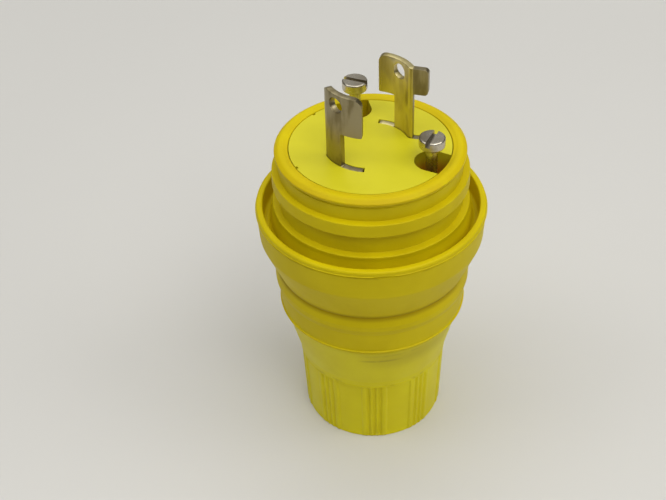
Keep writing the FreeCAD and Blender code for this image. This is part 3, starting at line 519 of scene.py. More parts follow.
def metal_material(name, colour, tarnish, roughness, tarnish_share, grain_depth, across=4000.0, along=150.0,
                   cloud_length=1.0):
    """A metal with drawn grain, cloudy tarnish and uneven gloss."""
    material, tree, shader = new_material(name)
    shader.inputs["Metallic"].default_value = 1.0
    grain = add_node(tree, "ShaderNodeGroup", node_tree=METAL_GRAIN)
    grain.inputs["Across Scale"].default_value = across
    grain.inputs["Along Scale"].default_value = along
    grain.inputs["Cloud Length"].default_value = cloud_length
    cloud = calculate(tree, "MULTIPLY", ramp(tree, grain.outputs["Cloud"], 0.42, 0.68), tarnish_share)
    tree.links.new(mix_colours(tree, cloud, colour, tarnish), shader.inputs["Base Color"])
    rough = calculate(tree, "ADD", calculate(tree, "MULTIPLY", grain.outputs["Lines"], 0.12),
                      calculate(tree, "MULTIPLY", cloud, 0.15))
    tree.links.new(calculate(tree, "ADD", rough, roughness - 0.06), shader.inputs["Roughness"])
    bump = add_node(tree, "ShaderNodeBump", {
        "Height": grain.outputs["Lines"], "Strength": 0.5, "Distance": grain_depth * MM})
    tree.links.new(bump.outputs[0], shader.inputs["Normal"])
    return material


BRASS = metal_material("turned_brass", srgb(206, 176, 108), srgb(150, 112, 60), 0.3, 0.6, 0.004)
INSERT_LOW, INSERT_HIGH = heights("thread_inserts")
bushes = at_both_screws("bush", outline([
    (1.81, INSERT_LOW, 0), (2.55, INSERT_LOW, 0.12),
    (2.55, INSERT_HIGH, 0.12), (1.81, INSERT_HIGH, 0)]), BRASS)
dress(join_pieces("brass_thread_bushes", bushes), "plug", "brass", "thread_inserts")

# Face insert
# Lemon-yellow nylon disc, sunk a little into the boot's mouth. It has a curved slot for each blade, two
# screw wells that open at its edge, and two small key nicks. Its edges are barely broken, as moulded.

FLAT_ANGLE = math.radians(0.8)
EASED_ANGLE = math.radians(30)


def eased_copy(node, name, width, material):
    """A copy of a solid's mesh, merged into whole faces, with its sharp edges eased."""
    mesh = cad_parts[node].data.copy()
    shape = bmesh.new()
    shape.from_mesh(mesh)
    bmesh.ops.remove_doubles(shape, verts=shape.verts, dist=0.001 * MM)
    bmesh.ops.dissolve_limit(shape, angle_limit=FLAT_ANGLE, verts=shape.verts, edges=shape.edges)
    shape.to_mesh(mesh)
    shape.free()
    mesh.materials.clear()
    mesh.materials.append(material)
    return ease(new_piece(name, mesh), width)


def ease(piece, width):
    """Rounds a piece's sharp edges, and shades its flat faces flat up to them."""
    easing = piece.modifiers.new("eased_edges", "BEVEL")
    easing.width = width * MM
    easing.segments = 3
    easing.limit_method = "ANGLE"
    easing.angle_limit = EASED_ANGLE
    return shade_evenly(settle(piece))


def shade_evenly(piece):
    """Weights each corner's shading by the size of its faces, and keeps the result."""
    piece.modifiers.new("even_shading", "WEIGHTED_NORMAL").keep_sharp = True
    return keep_result(piece)


def polar(radius, angle):
    turn = math.radians(angle)
    return Vector((radius * math.cos(turn), radius * math.sin(turn)))


def prism(name, plan, low, high, material):
    """A solid that stands on a closed plan, between two heights. All sizes are in millimetres."""
    shape = bmesh.new()
    foot = [shape.verts.new((x * MM, y * MM, low * MM)) for x, y in plan]
    top = [shape.verts.new((x * MM, y * MM, high * MM)) for x, y in plan]
    shape.faces.new(foot)
    shape.faces.new(top)
    for index in range(len(plan)):
        after = (index + 1) % len(plan)
        shape.faces.new((foot[index], foot[after], top[after], top[index]))
    bmesh.ops.recalc_face_normals(shape, faces=shape.faces)
    mesh = bpy.data.meshes.new(name)
    shape.to_mesh(mesh)
    shape.free()
    mesh.materials.append(material)
    return new_piece(name, mesh)


def sector_plan(inner, outer, start, end):
    """Plan of a curved slot round the axis, with a point for about every degree and a half."""
    steps = max(2, round((end - start) / 1.5))
    turns = [start + (end - start) * step / steps for step in range(steps + 1)]
    return [polar(outer, turn) for turn in turns] + [polar(inner, turn) for turn in reversed(turns)]


def slot_plan(start, direction, length, half_width):
    """Plan of a straight slot: a half circle round its start, and a square far end."""
    round_end = [start + polar(half_width, direction + 90 + 180 * step / 32) for step in range(33)]
    far = start + polar(length, direction)
    return [*round_end, far + polar(half_width, direction - 90), far + polar(half_width, direction + 90)]


def circle_plan(centre, radius, steps):
    return [centre + polar(radius, 360 * step / steps) for step in range(steps)]


def carve(piece, cutters):
    """Cuts other pieces' shapes out of a piece, one after the other."""
    for cutter in cutters:
        cut = piece.modifiers.new("cut", "BOOLEAN")
        cut.operation = "DIFFERENCE"
        cut.solver = "EXACT"
        cut.object = cutter
    settle(piece)
    for cutter in cutters:
        bpy.data.objects.remove(cutter)
    return piece


FACE_FOOT, FACE_TOP = heights("face_insert")
FACE_RADIUS = 19.34
WELL_FLOOR = FACE_TOP - 6.6
BLADE_CIRCLE = 10.2
BLADE_THICKNESS = 1.5
HOOK_START, HOOK_STEM_END, HOOK_END = -159.0, -128.5, -99.5
WIDE_START, WIDE_STEM_START, WIDE_BEND = 76.8, 52.0, 19.0
LEG_ANGLE = -15.0
LEG_LENGTH = 4.1
SLOT_GAP = 0.1
WELL_RADIUS = 4.05
SCREW_HOLE_RADIUS = 1.9
KEY_NICK_ANGLES = (135.6, 207.2)
KEY_NICK_HALF_WIDTH = 0.45
RETAINER_CIRCLE = 13.4
PILOT_RADIUS = 1.15
PILOT_DEPTH = 5.95
# Painted shade and orange reflected light, laid down in the screw wells by the face's ring below.
WELL_PAINTED_SHADE_AND_REFLECTION = srgb(178, 114, 12)
FACE_NYLON = moulded_material("face_nylon", srgb(215, 206, 30), srgb(209, 200, 26), 0.4, 0.012, shine=0.35,
                              rings=[(WELL_FLOOR + 1, 5.5, 60.0, 1.0, 0, -1.3, 0.9, WELL_PAINTED_SHADE_AND_REFLECTION)])


def blade_room(low, high, spread, leg_length):
    """The room that both blades take between two heights, wider than their edges by an angle."""
    inner = BLADE_CIRCLE - BLADE_THICKNESS / 2 - SLOT_GAP
    outer = BLADE_CIRCLE + BLADE_THICKNESS / 2 + SLOT_GAP
    plans = (
        sector_plan(inner, outer, HOOK_START - spread, HOOK_END + spread),
        sector_plan(inner, outer, WIDE_BEND, WIDE_START + spread),
        slot_plan(polar(BLADE_CIRCLE, WIDE_BEND), LEG_ANGLE, leg_length, BLADE_THICKNESS / 2 + SLOT_GAP))
    return [prism("blade_room", plan, low, high, FACE_NYLON) for plan in plans]


face_cutters = []
for angle in SCREW_ANGLES.values():
    well = slot_plan(polar(SCREW_CIRCLE, angle), angle, FACE_RADIUS - SCREW_CIRCLE + 1, WELL_RADIUS)
    face_cutters.append(prism("well", well, WELL_FLOOR, FACE_TOP + 1, FACE_NYLON))
    hole = circle_plan(polar(SCREW_CIRCLE, angle), SCREW_HOLE_RADIUS, 48)
    face_cutters.append(prism("screw_hole", hole, FACE_FOOT - 1, WELL_FLOOR + 1, FACE_NYLON))
for angle in KEY_NICK_ANGLES:
    across = polar(KEY_NICK_HALF_WIDTH, angle + 90)
    near, far = polar(FACE_RADIUS - 0.5, angle), polar(FACE_RADIUS + 1, angle)
    nick = [near - across, far - across, far + across, near + across]
    face_cutters.append(prism("key_nick", nick, WELL_FLOOR, FACE_TOP + 1, FACE_NYLON))
for side in (-90, 90):
    pilot = circle_plan(polar(RETAINER_CIRCLE, BLADE_AXIS + side), PILOT_RADIUS, 32)
    face_cutters.append(prism("pilot_hole", pilot, FACE_FOOT - 1, FACE_FOOT + PILOT_DEPTH, FACE_NYLON))
face_cutters += blade_room(FACE_FOOT - 1, FACE_TOP + 1, spread=1.7, leg_length=LEG_LENGTH + SLOT_GAP)
face_cutters += blade_room(FACE_FOOT - 1, FACE_FOOT + 2.1, spread=6.5,
                           leg_length=LEG_LENGTH + BLADE_THICKNESS + SLOT_GAP)
face = prism("face_disc", circle_plan(Vector((0, 0)), FACE_RADIUS, 240), FACE_FOOT, FACE_TOP, FACE_NYLON)
dress(ease(carve(face, face_cutters), 0.12), "plug", "yellow_nylon", "face_insert")

# Rear insulator, its screws and the gasket
# Black nylon plate that traps the blades' ears against the back of the face. Two small screws hold it,
# and a flat rubber ring seals the face on the housing.

BLACK_NYLON = moulded_material("black_nylon", srgb(42, 42, 42), srgb(52, 51, 49), 0.45, 0.015)
BLACK_RUBBER = moulded_material("black_rubber", srgb(34, 34, 33), srgb(46, 45, 43), 0.65, 0.03)
dress(eased_copy("rear_insulator", "rear_plate", 0.15, BLACK_NYLON), "plug", "black_nylon", "rear_insulator")


def flat_ring(inner, outer, node, rounding):
    """Section of a flat ring between two radii, as high as its solid."""
    low, high = heights(node)
    corners = ((inner, low), (outer, low), (outer, high), (inner, high))
    return outline([(*corner, rounding) for corner in corners])


gasket = turned_piece("face_gasket", THREADED, flat_ring(17.95, 19.45, "insert_gasket", 0.3), BLACK_RUBBER,
                      Around=120)
dress(gasket, "plug", "black_rubber", "insert_gasket")


def build_driver_slot():
    """A tree that cuts a driver slot across the head of a screw that stands on Z."""
    tree, given, result = new_group("driver_slot", "GeometryNodeTree", [
        ("Geometry", "Geometry", None), ("Head Top", "Float", 0.0), ("Slot Width", "Float", 0.001),
        ("Slot Depth", "Float", 0.001), ("Slot Length", "Float", 0.01), ("Slot Angle", "Float", 0.0),
        ("Material", "Material", None)], [("Geometry", "Geometry")])
    twice_depth = calculate(tree, "MULTIPLY", given["Slot Depth"], 2.0)
    size = vector_of(tree, given["Slot Length"], given["Slot Width"], twice_depth)
    blank = add_node(tree, "GeometryNodeMeshCube", {"Size": size}).outputs[0]
    turn = vector_of(tree, 0.0, 0.0, given["Slot Angle"])
    lift = vector_of(tree, 0.0, 0.0, given["Head Top"])
    cutter = add_node(tree, "GeometryNodeTransform", {
        "Geometry": blank, "Translation": lift, "Rotation": turn}).outputs[0]
    cut = add_node(tree, "GeometryNodeMeshBoolean", {"Mesh 1": given["Geometry"], "Mesh 2": cutter},
                   operation="DIFFERENCE", solver="EXACT").outputs[0]
    return end_tree(tree, given, result, cut)


DRIVER_SLOT = build_driver_slot()


def slotted_screw(name, corners, thread, pitch, material, slot, place):
    """A screw turned on Z with its head up, threaded and slotted, and then put in its place. Slot is
    the slot's width and depth in millimetres, and the angle in radians that it is turned by."""
    head_top = max(corner[1] for corner in corners)
    head_radius = max(corner[0] for corner in corners)
    screw = turned_piece(name, THREADED, outline(corners, closed=False, longest=1.0), material,
                         proud=thread, Around=48, Pitch=pitch * MM)
    width, depth, angle = slot
    add_tree(screw, DRIVER_SLOT, {
        "Head Top": head_top * MM, "Slot Width": width * MM, "Slot Depth": depth * MM,
        "Slot Length": 3 * head_radius * MM, "Slot Angle": angle, "Material": material})
    screw.data.transform(place)
    return screw


PLATED_STEEL = metal_material("plated_steel", srgb(196, 188, 170), srgb(140, 130, 108), 0.26, 0.5, 0.003,
                              across=900.0, along=900.0)
RETAINER_FOOT = heights("retainer_screws")[0]
RETAINER_PITCH = 0.5
retainers = []
for side in (-90, 90):
    foot = on_circle(RETAINER_CIRCLE, BLADE_AXIS + side, RETAINER_FOOT)
    head_down = Matrix.Translation(foot) @ Matrix.Rotation(math.pi, 4, "X")
    retainers.append(slotted_screw("retainer", [
        (0, -12, 0), (0.7, -12, 0), (1.1, -11.5, 0), *thread_run(1.1, -11.4, -2, 0.08),
        (1.1, -1.6, 0), (2, -1.6, 0.1), (2, 0, 0.4), (0, 0, 0)],
        thread_depth(-11.4, -2, RETAINER_PITCH, 0.2, within=1.05, outside=1.15), RETAINER_PITCH,
        PLATED_STEEL, (0.6, 0.7, 0.6), head_down))
dress(join_pieces("retainer_pair", retainers), "plug", "plated_steel", "retainer_screws")

# Blades
# Two curved blades stamped from nickel-plated brass. The near one has the hook, the far one a wing and
# an out-turned tab. Stamping leaves their edges slightly rolled. The plating is warm grey, in two copies:
# a darker one with painted shade on the near blade and on the far one's tab, and a lighter, yellower one
# with the face's painted reflection on the rest of the far blade.

# Lit and shaded copies of one plating: painted shade on the darker, painted reflection of the yellow face on
# the lighter.
NICKEL_PAINTED_SHADE = metal_material("nickel_painted_shade", srgb(160, 149, 115), srgb(116, 103, 68), 0.34, 0.7, 0.006,
                             along=60.0, cloud_length=3.5)
NICKEL_PAINTED_REFLECTION = metal_material("nickel_painted_reflection", srgb(208, 195, 140), srgb(174, 158, 102), 0.3, 0.7, 0.006,
                               along=60.0, cloud_length=3.5)
TAIL_FOOT, BLADE_TOP = heights("hook_blade")
SHOULDER_TOP = FACE_TOP - 0.1
EAR_TOP = FACE_FOOT + 2
HEAD_FOOT = BLADE_TOP - 10
HOLE_HEIGHT = BLADE_TOP - 2.9
BLADE_HOLE_RADIUS = 1.95
HOOK_HOLE_ANGLE, WIDE_HOLE_ANGLE = -135.5, 42.5
TAB_FOOT = BLADE_TOP - 6.8
TERMINAL_HEIGHT = 56.5
TAPPED_HOLE_RADIUS = 1.66
FOLD_RADIUS = 1.0
TAIL_HALF_WIDTH = 4.2
HOOK_TAIL_ANGLE, WIDE_TAIL_ANGLE = -125, 47
BEND_STEP = 0.25


def along(angle):
    """The length of the blades' circle up to an angle."""
    return math.radians(angle) * BLADE_CIRCLE


def stamped_plate(name, corners, hole_across, place, bends, plating):
    """A blade: stamped flat with its hole, its edges rolled, and then bent. Place says where a point
    goes, from its length along the blade and its offset outwards. Bends are the lengths to bend at."""
    half = BLADE_THICKNESS / 2
    plate = prism(name, outline(corners, longest=50)[:-1], -half, half, plating)
    hole = circle_plan(Vector((hole_across, HOLE_HEIGHT)), BLADE_HOLE_RADIUS, 48)
    plate = ease(carve(plate, [prism("hole", hole, -2 * half, 2 * half, plating)]), 0.22)
    shape = bmesh.new()
    shape.from_mesh(plate.data)
    for length in bends:
        bmesh.ops.bisect_plane(shape, geom=[*shape.verts, *shape.edges, *shape.faces], dist=0.001 * MM,
                               plane_co=(length * MM, 0, 0), plane_no=(1, 0, 0))
    for vertex in shape.verts:
        length, height, offset = vertex.co / MM
        across, deep = place(length, offset)
        vertex.co = Vector((across, deep, height)) * MM
    bmesh.ops.recalc_face_normals(shape, faces=shape.faces)
    mesh = bpy.data.meshes.new(name)
    shape.to_mesh(mesh)
    shape.free()
    mesh.materials.append(plating)
    plate.data = mesh
    return plate


def outward(angle):
    """Lays a piece that stands on Z along a radius, outwards."""
    return Matrix.Rotation(math.radians(angle), 4, "Z") @ Matrix.Rotation(math.radians(90), 4, "Y")


def blade_tail(angle, plating):
    """The flat tail that carries the terminal, with its tapped hole."""
    near = polar(BLADE_CIRCLE - BLADE_THICKNESS / 2, angle)
    far = polar(BLADE_CIRCLE + BLADE_THICKNESS / 2, angle)
    across = polar(TAIL_HALF_WIDTH, angle + 90)
    plan = [near - across, far - across, far + across, near + across]
    tail = prism("tail", plan, TAIL_FOOT, FACE_FOOT, plating)
    hole = prism("tapped_hole", circle_plan(Vector((0, 0)), TAPPED_HOLE_RADIUS, 32), 5, 15, plating)
    hole.data.transform(Matrix.Translation((0, 0, TERMINAL_HEIGHT * MM)) @ outward(angle))
    return ease(carve(tail, [hole]), 0.15)


def round_the_circle(length, offset):
    return polar(BLADE_CIRCLE + offset, math.degrees(length / BLADE_CIRCLE))


hook_left, hook_right = along(HOOK_START), along(HOOK_END)
shoulder, ear = along(0.2), along(5)
hook = stamped_plate("near_hook_blade", [
    (hook_left - ear, FACE_FOOT, 0.3), (hook_right + ear, FACE_FOOT, 0.3), (hook_right + ear, EAR_TOP, 0.3),
    (hook_right + shoulder, EAR_TOP, 0.2), (hook_right + shoulder, SHOULDER_TOP, 0.3),
    (along(HOOK_STEM_END), SHOULDER_TOP, 0.3), (along(HOOK_STEM_END), HEAD_FOOT, 0.4),
    (hook_right, HEAD_FOOT, 0.5), (hook_right, BLADE_TOP, 2.2), (hook_left, BLADE_TOP, 1),
    (hook_left, SHOULDER_TOP, 0), (hook_left - shoulder, SHOULDER_TOP, 0),
    (hook_left - shoulder, EAR_TOP, 0.2), (hook_left - ear, EAR_TOP, 0.3)],
    along(HOOK_HOLE_ANGLE), round_the_circle,
    [hook_left - ear + step * BEND_STEP
     for step in range(1, int((hook_right - hook_left + 2 * ear) / BEND_STEP))], NICKEL_PAINTED_SHADE)
hook_whole = join_pieces("hook_blade_whole", [hook, blade_tail(HOOK_TAIL_ANGLE, NICKEL_PAINTED_SHADE)])
dress(shade_evenly(hook_whole), "plug", "plated_brass", "hook_blade")

fold_turn = math.acos((FOLD_RADIUS + BLADE_CIRCLE * math.cos(math.radians(LEG_ANGLE + 90 - WIDE_BEND)))
                      / (BLADE_CIRCLE + FOLD_RADIUS))
fold_angle = LEG_ANGLE + 90 - math.degrees(fold_turn)
fold_centre = polar(BLADE_CIRCLE + FOLD_RADIUS, fold_angle)
fold_start = along(WIDE_START - fold_angle)
fold_end = fold_start + fold_turn * FOLD_RADIUS
leg_start = fold_centre - polar(FOLD_RADIUS, LEG_ANGLE + 90)
leg_rest = (polar(BLADE_CIRCLE, WIDE_BEND) - leg_start).dot(polar(1, LEG_ANGLE))


def round_the_fold(length, offset):
    """Back along the circle from the wing's end, round the fold and out along the leg."""
    if length < fold_start:
        return polar(BLADE_CIRCLE + offset, WIDE_START - math.degrees(length / BLADE_CIRCLE))
    if length < fold_end:
        turn = math.degrees((length - fold_start) / FOLD_RADIUS)
        return fold_centre + polar(FOLD_RADIUS - offset, fold_angle + 180 + turn)
    return leg_start + polar(length - fold_end, LEG_ANGLE) + polar(offset, LEG_ANGLE + 90)


def up_the_leg(reach):
    """The length along the blade of a place on the leg, given from the bend's sharp corner."""
    return fold_end + leg_rest + reach


wing_stem = along(WIDE_START - WIDE_STEM_START)
wide = stamped_plate("far_wing_blade", [
    (-ear, FACE_FOOT, 0.3), (up_the_leg(LEG_LENGTH + BLADE_THICKNESS), FACE_FOOT, 0.3),
    (up_the_leg(LEG_LENGTH + BLADE_THICKNESS), EAR_TOP, 0.3), (up_the_leg(LEG_LENGTH), EAR_TOP, 0.2),
    (up_the_leg(LEG_LENGTH), SHOULDER_TOP, 0.3), (up_the_leg(0.6), SHOULDER_TOP, 0.1),
    (up_the_leg(0.6), TAB_FOOT, 0.3), (up_the_leg(LEG_LENGTH), TAB_FOOT, 1),
    (up_the_leg(LEG_LENGTH), BLADE_TOP, 1), (0, BLADE_TOP, 1.8), (0, HEAD_FOOT, 0.5),
    (wing_stem, HEAD_FOOT, 0.4), (wing_stem, SHOULDER_TOP, 0.3), (-shoulder, SHOULDER_TOP, 0.3),
    (-shoulder, EAR_TOP, 0.2), (-ear, EAR_TOP, 0.3)],
    along(WIDE_START - WIDE_HOLE_ANGLE), round_the_fold,
    [-ear + step * BEND_STEP for step in range(1, int((fold_start + ear) / BEND_STEP))]
    + [fold_start + step * (fold_end - fold_start) / 8 for step in range(9)], NICKEL_PAINTED_REFLECTION)
# The tab past the fold takes the darker copy, with painted shade.
wide.data.materials.append(NICKEL_PAINTED_SHADE)
for polygon in wide.data.polygons:
    if (polygon.center.xy / MM - leg_start).dot(polar(1, LEG_ANGLE)) > 0:
        polygon.material_index = 1
wide_whole = join_pieces("wide_blade_whole", [wide, blade_tail(WIDE_TAIL_ANGLE, NICKEL_PAINTED_REFLECTION)])
dress(shade_evenly(wide_whole), "plug", "plated_brass", "wide_blade")

# Assembly screws and their washers
# Long slotted steel screws with a cylindrical head and a waisted neck. A washer below each neck keeps it
# captive in its well. Both are backed out, the left one further.

HEAD_RADIUS = 3.1
HEAD_DEPTH = 2.5
SEAT_GAP = 0.03
SCREW_PITCH = 0.794
for side, slot_angle in (("right", 67), ("left", -22)):
    head_top = heights(f"{side}_assembly_screw")[1]
    place = Matrix.Translation(on_circle(SCREW_CIRCLE, SCREW_ANGLES[side], head_top - HEAD_DEPTH))
    screw = slotted_screw(f"{side}_long_screw", [
        (0, -31, 0), (1.25, -31, 0.1), (1.75, -30.5, 0), *thread_run(1.75, -30.4, -16.8, 0.1),
        (1.75, -16.6, 0), (1.4, -16.6, 0), (1.4, SEAT_GAP, 0), (HEAD_RADIUS - 0.15, SEAT_GAP, 0.1),
        (HEAD_RADIUS, 0.4, 0.1), (HEAD_RADIUS, HEAD_DEPTH, 0.4), (0, HEAD_DEPTH, 0)],
        thread_depth(-30.6, -16.7, SCREW_PITCH, 0.42, within=1.7, outside=1.8), SCREW_PITCH, PLATED_STEEL,
        (1.1, 1.2, math.radians(slot_angle)), place)
    dress(screw, f"{side}_screw", "plated_steel", f"{side}_assembly_screw")
    washer = eased_copy(f"{side}_screw_washer", f"{side}_captive_washer", 0.08, PLATED_STEEL)
    dress(washer, f"{side}_washer", "plated_steel", f"{side}_screw_washer")

# Wire terminals
# On the flat tail of each blade a screw draws in a brass plate, which clamps one core of the cord.

TERMINAL_PITCH = 0.635
TERMINAL_SEAT = 14.6
for pole, angle in (("hook", HOOK_TAIL_ANGLE), ("wide", WIDE_TAIL_ANGLE)):
    height = sum(heights(f"{pole}_terminal_screw")) / 2
    place = Matrix.Translation(on_circle(TERMINAL_SEAT, angle, height)) @ outward(angle)
    screw = slotted_screw(f"{pole}_binding_screw", [
        (0, -7.4, 0), (1.2, -7.4, 0.1), (1.6, -7, 0), *thread_run(1.6, -6.9, -0.4, 0.08),
        (1.6, 0, 0), (2.9, 0, 0.1), (2.9, 1.5, 0.5), (0, 1.5, 0)],
        thread_depth(-7.1, -0.4, TERMINAL_PITCH, 0.3, within=1.55, outside=1.65), TERMINAL_PITCH,
        PLATED_STEEL, (1.1, 0.75, 0.0), place)
    dress(screw, f"{pole}_screw", "plated_steel", f"{pole}_terminal_screw")
    clamp = eased_copy(f"{pole}_clamp", f"{pole}_pressure_plate", 0.2, BRASS)
    dress(clamp, f"{pole}_plate", "brass", f"{pole}_clamp")

# Cord grip
# Black rubber bush that the cord nut squeezes round the cord, the white nylon washer that lets the nut
# turn on it, and the ring that seals the neck.

BUSH_FOOT, BUSH_TOP = heights("cord_grommet")
cord_bush = turned_piece("cord_bush", THREADED, outline([
    (7.6, BUSH_FOOT, 0.5), (10.3, BUSH_FOOT, 0.4), (10.3, BUSH_TOP - 4, 0.5), (9.4, BUSH_TOP, 0.4),
    (7.6, BUSH_TOP, 0.5)]), BLACK_RUBBER, Around=96)
dress(cord_bush, "plug", "black_rubber", "cord_grommet")
WHITE_NYLON = moulded_material("white_nylon", srgb(222, 219, 208), srgb(214, 210, 196), 0.4, 0.01)
slip_ring = turned_piece("slip_ring", THREADED, flat_ring(8.1, 12.8, "slip_washer", 0.2), WHITE_NYLON,
                         Around=96)
dress(slip_ring, "nut_washer", "white_nylon", "slip_washer")
SEAL_LOW, SEAL_HIGH = heights("neck_seal_ring")
seal_radius = (SEAL_HIGH - SEAL_LOW) / 2
seal_centre = Vector((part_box("neck_seal_ring")[1].x / MM - seal_radius, SEAL_LOW + seal_radius))
seal_points = [seal_centre + Vector((math.cos(turn), math.sin(turn))) * seal_radius
               for turn in (math.tau * step / 24 for step in range(25))]
seal = turned_piece("neck_ring", THREADED, seal_points, BLACK_RUBBER, Around=120)
dress(seal, "plug", "black_rubber", "neck_seal_ring")

# Cord nut
# Yellow nylon gland nut that the plug stands on: a bell-mouthed foot, a band of sunk panels between
# nine groups of four grip ribs, and a flared skirt up to the boot.

RIB_GROUPS = 9
RIB_GROUP_ANGLE = -89.2
RIB_GROUP_HALF_ANGLE = 9.9
RIB_PITCH_ANGLE = 4.7
FLUTE_ANGLE = 2.3
RIB_EDGE_ANGLE = 1.6
PANEL_SINK = 0.35
FLUTE_SINK = 0.45
BAND_HEIGHT = 19.3
NUT_OUTSIDE_FROM = 17


def grip_plan():
    """One group of ribs and the bare panel after it: the angle of each column, and how deep it sinks."""
    steps = [(-RIB_GROUP_HALF_ANGLE, PANEL_SINK, 0.0)]
    for flute in (-RIB_PITCH_ANGLE, 0.0, RIB_PITCH_ANGLE):
        steps.append((flute - FLUTE_ANGLE / 2, 0.0, FLUTE_SINK))
        steps.append((flute + FLUTE_ANGLE / 2, FLUTE_SINK, 0.0))
    steps.append((RIB_GROUP_HALF_ANGLE, 0.0, PANEL_SINK))
    plan = []
    for angle, before, after in steps:
        for share in (0.0, 0.25, 0.5, 0.75, 1.0):
            rise = (1 - math.cos(math.pi * share)) / 2
            plan.append((angle + (share - 0.5) * RIB_EDGE_ANGLE, before + (after - before) * rise))
    bare = 360 / RIB_GROUPS - 2 * RIB_GROUP_HALF_ANGLE
    for step in range(1, 12):
        plan.append((RIB_GROUP_HALF_ANGLE + bare * step / 12, PANEL_SINK))
    return plan


def grip_ribs(tree, given, column, height):
    """Reads each column's angle and sink from the plan of one group, repeated round the nut."""
    step = count(tree, "MODULO", column, given["Plan Points"])
    angle, sink = outline_point(tree, given["Plan"], step)[:2]
    group = count(tree, "DIVIDE", column, given["Plan Points"])
    turn = calculate(tree, "MULTIPLY", group, math.tau / RIB_GROUPS)
    return calculate(tree, "ADD", calculate(tree, "ADD", angle, turn), given["First Angle"]), sink


def band_share(point):
    """The band sinks whole from its foot's rounded edge up to its top edge, only on the nut's outside."""
    if point.x < NUT_OUTSIDE_FROM:
        return 0.0
    return -min(max((BAND_HEIGHT + 0.05 - point.y) / 0.1, 0.0), max(point.y / 0.5, 0.0), 1.0)


NUT_TOP = heights("cord_nut")[1]
GRIP_NUT = build_turned_tree("grip_nut", [
    ("Plan", "Object", None), ("Plan Points", "Int", 8), ("First Angle", "Float", 0.0)], grip_ribs)
NUT_NYLON = moulded_material("nut_nylon", srgb(229, 217, 14), srgb(222, 208, 10), 0.42, 0.015, rings=(
    # The first ring is partly smudge and partly painted shade under the boot's foot, on the front right. The
    # two thin ones are smudges.
    (NUT_TOP - 4.0, 6.0, 90.0, 0.95, -62, 0.75, 0.3, SMUDGE_AND_PAINTED_SHADE),
    (NUT_TOP - 2.1, 0.7, 300.0, 0.62, -76, 0.9, 0.2, SMUDGE_AND_PAINTED_SHADE),
    (NUT_TOP - 4.3, 0.6, 300.0, 0.66, -85, 0.96, 0.4, SMUDGE_AND_PAINTED_SHADE),
    (BAND_HEIGHT + 0.6, 0.9, 400.0, 0.42, -95, 0.2, 0.35, SMUDGE_AND_PAINTED_SHADE)), shine=0.2)
plan_points = grip_plan()
plan_holder = new_piece("plan", bpy.data.meshes.new("plan"))
plan_holder.data.from_pydata([(math.radians(angle), sink, 0.0) for angle, sink in plan_points], [], [])
nut = turned_piece("cord_grip_nut", GRIP_NUT, outline([
    (13.6, 0, 0.6), (18.1, 0, 0.5), (18.93, BAND_HEIGHT - 0.2, 0), (18.94, BAND_HEIGHT - 0.05, 0),
    (19.05, BAND_HEIGHT + 0.05, 0), (19.1, BAND_HEIGHT + 0.15, 0), (19.03, BAND_HEIGHT + 0.5, 0),
    (19.25, 21.5, 1.6), (22.85, NUT_TOP, 0.8), (21, NUT_TOP, 0.4), (17.7, 24.5, 0.6),
    (16.76, 24.5, 0.2), (16.76, 34, 0.2), (14.56, 34, 0.2), (14.56, 17.2, 0),
    (9.5, 17.2, 0.3), (9.5, 10, 1.5)]), NUT_NYLON, proud=band_share,
    Around=RIB_GROUPS * len(plan_points), Plan=plan_holder, Plan_Points=len(plan_points),
    First_Angle=math.radians(RIB_GROUP_ANGLE), Unevenness=0.04 * MM, True_Within=NUT_OUTSIDE_FROM * MM)
bpy.data.objects.remove(plan_holder)
dress(nut, "gland_nut", "yellow_nylon", "cord_nut")

# Table, light and camera
# A pale, slightly warm table top under a wide soft ceiling lamp, with weaker ones all round, seen from
# above and in front.

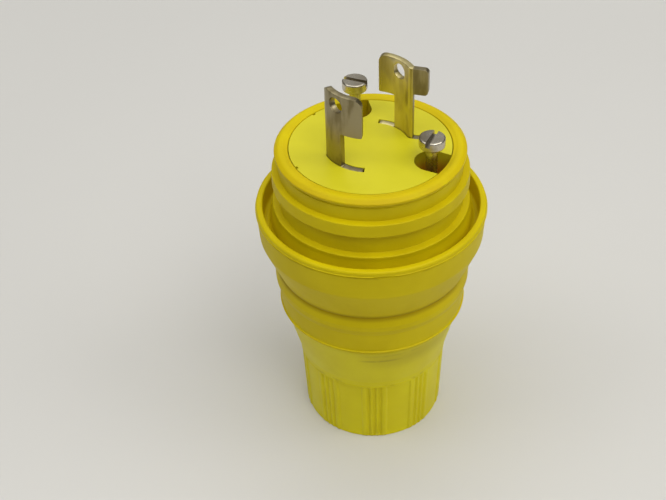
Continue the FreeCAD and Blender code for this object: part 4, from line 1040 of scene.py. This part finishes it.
floor_material, floor_tree, floor_shader = new_material("pale_table")
floor_place = add_node(floor_tree, "ShaderNodeTexCoord").outputs["Object"]
floor_noise = add_node(floor_tree, "ShaderNodeTexNoise", {"Vector": floor_place, "Scale": 6.0, "Detail": 3.0})
floor_tint = mix_colours(floor_tree, floor_noise.outputs[0], srgb(216, 214, 208), srgb(210, 208, 202))
floor_tree.links.new(floor_tint, floor_shader.inputs["Base Color"])
floor_shader.inputs["Roughness"].default_value = 0.6
floor_mesh = bpy.data.meshes.new("table_top")
TABLE_REACH = 6.0
floor_corners = [(across * TABLE_REACH, deep * TABLE_REACH, 0)
                 for across, deep in ((-1, -1), (1, -1), (1, 1), (-1, 1))]
floor_mesh.from_pydata(floor_corners, [], [(0, 1, 2, 3)])
floor_mesh.materials.append(floor_material)
floor = new_piece("table_top", floor_mesh)

LAMP_TARGET = Vector((0, 0, 0.05))
LAMPS = (("ceiling_lamp", (0, 0, 1.4), 2.2, 17.0), ("front_lamp", (0.4, -0.75, 1.1), 0.7, 4.5),
         ("right_lamp", (0.85, -0.15, 0.9), 0.7, 2.9), ("left_lamp", (-0.85, -0.15, 0.9), 0.7, 1.9),
         ("back_lamp", (0, 1.3, 0.95), 1.6, 2.2))
for name, place, size, power in LAMPS:
    lamp = bpy.data.lights.new(name, "AREA")
    lamp.shape = "DISK"
    lamp.size = size
    lamp.energy = power
    holder = bpy.data.objects.new(name, lamp)
    holder.location = place
    holder.rotation_euler = (LAMP_TARGET - Vector(place)).to_track_quat("-Z", "Y").to_euler()
    bpy.context.scene.collection.objects.link(holder)
world = bpy.data.worlds.new("room")
bpy.context.scene.world = world
world.use_nodes = True
background = world.node_tree.nodes["Background"]
background.inputs["Color"].default_value = (1.0, 0.985, 0.95, 1.0)
background.inputs["Strength"].default_value = 0.06

CAMERA_PLACE = (0, -0.243108, 0.25032)
CAMERA_TURN = (50.4554, 1.6418, 0.9325)
camera_data = bpy.data.cameras.new("camera")
camera_data.lens = 67.5676
camera_data.sensor_width = 36.0
camera_data.sensor_fit = "HORIZONTAL"
camera = bpy.data.objects.new("camera", camera_data)
camera.location = CAMERA_PLACE
camera.rotation_euler = Euler([math.radians(angle) for angle in CAMERA_TURN], "XYZ")
bpy.context.scene.collection.objects.link(camera)
bpy.context.scene.camera = camera
bpy.context.scene.view_settings.view_transform = "Standard"
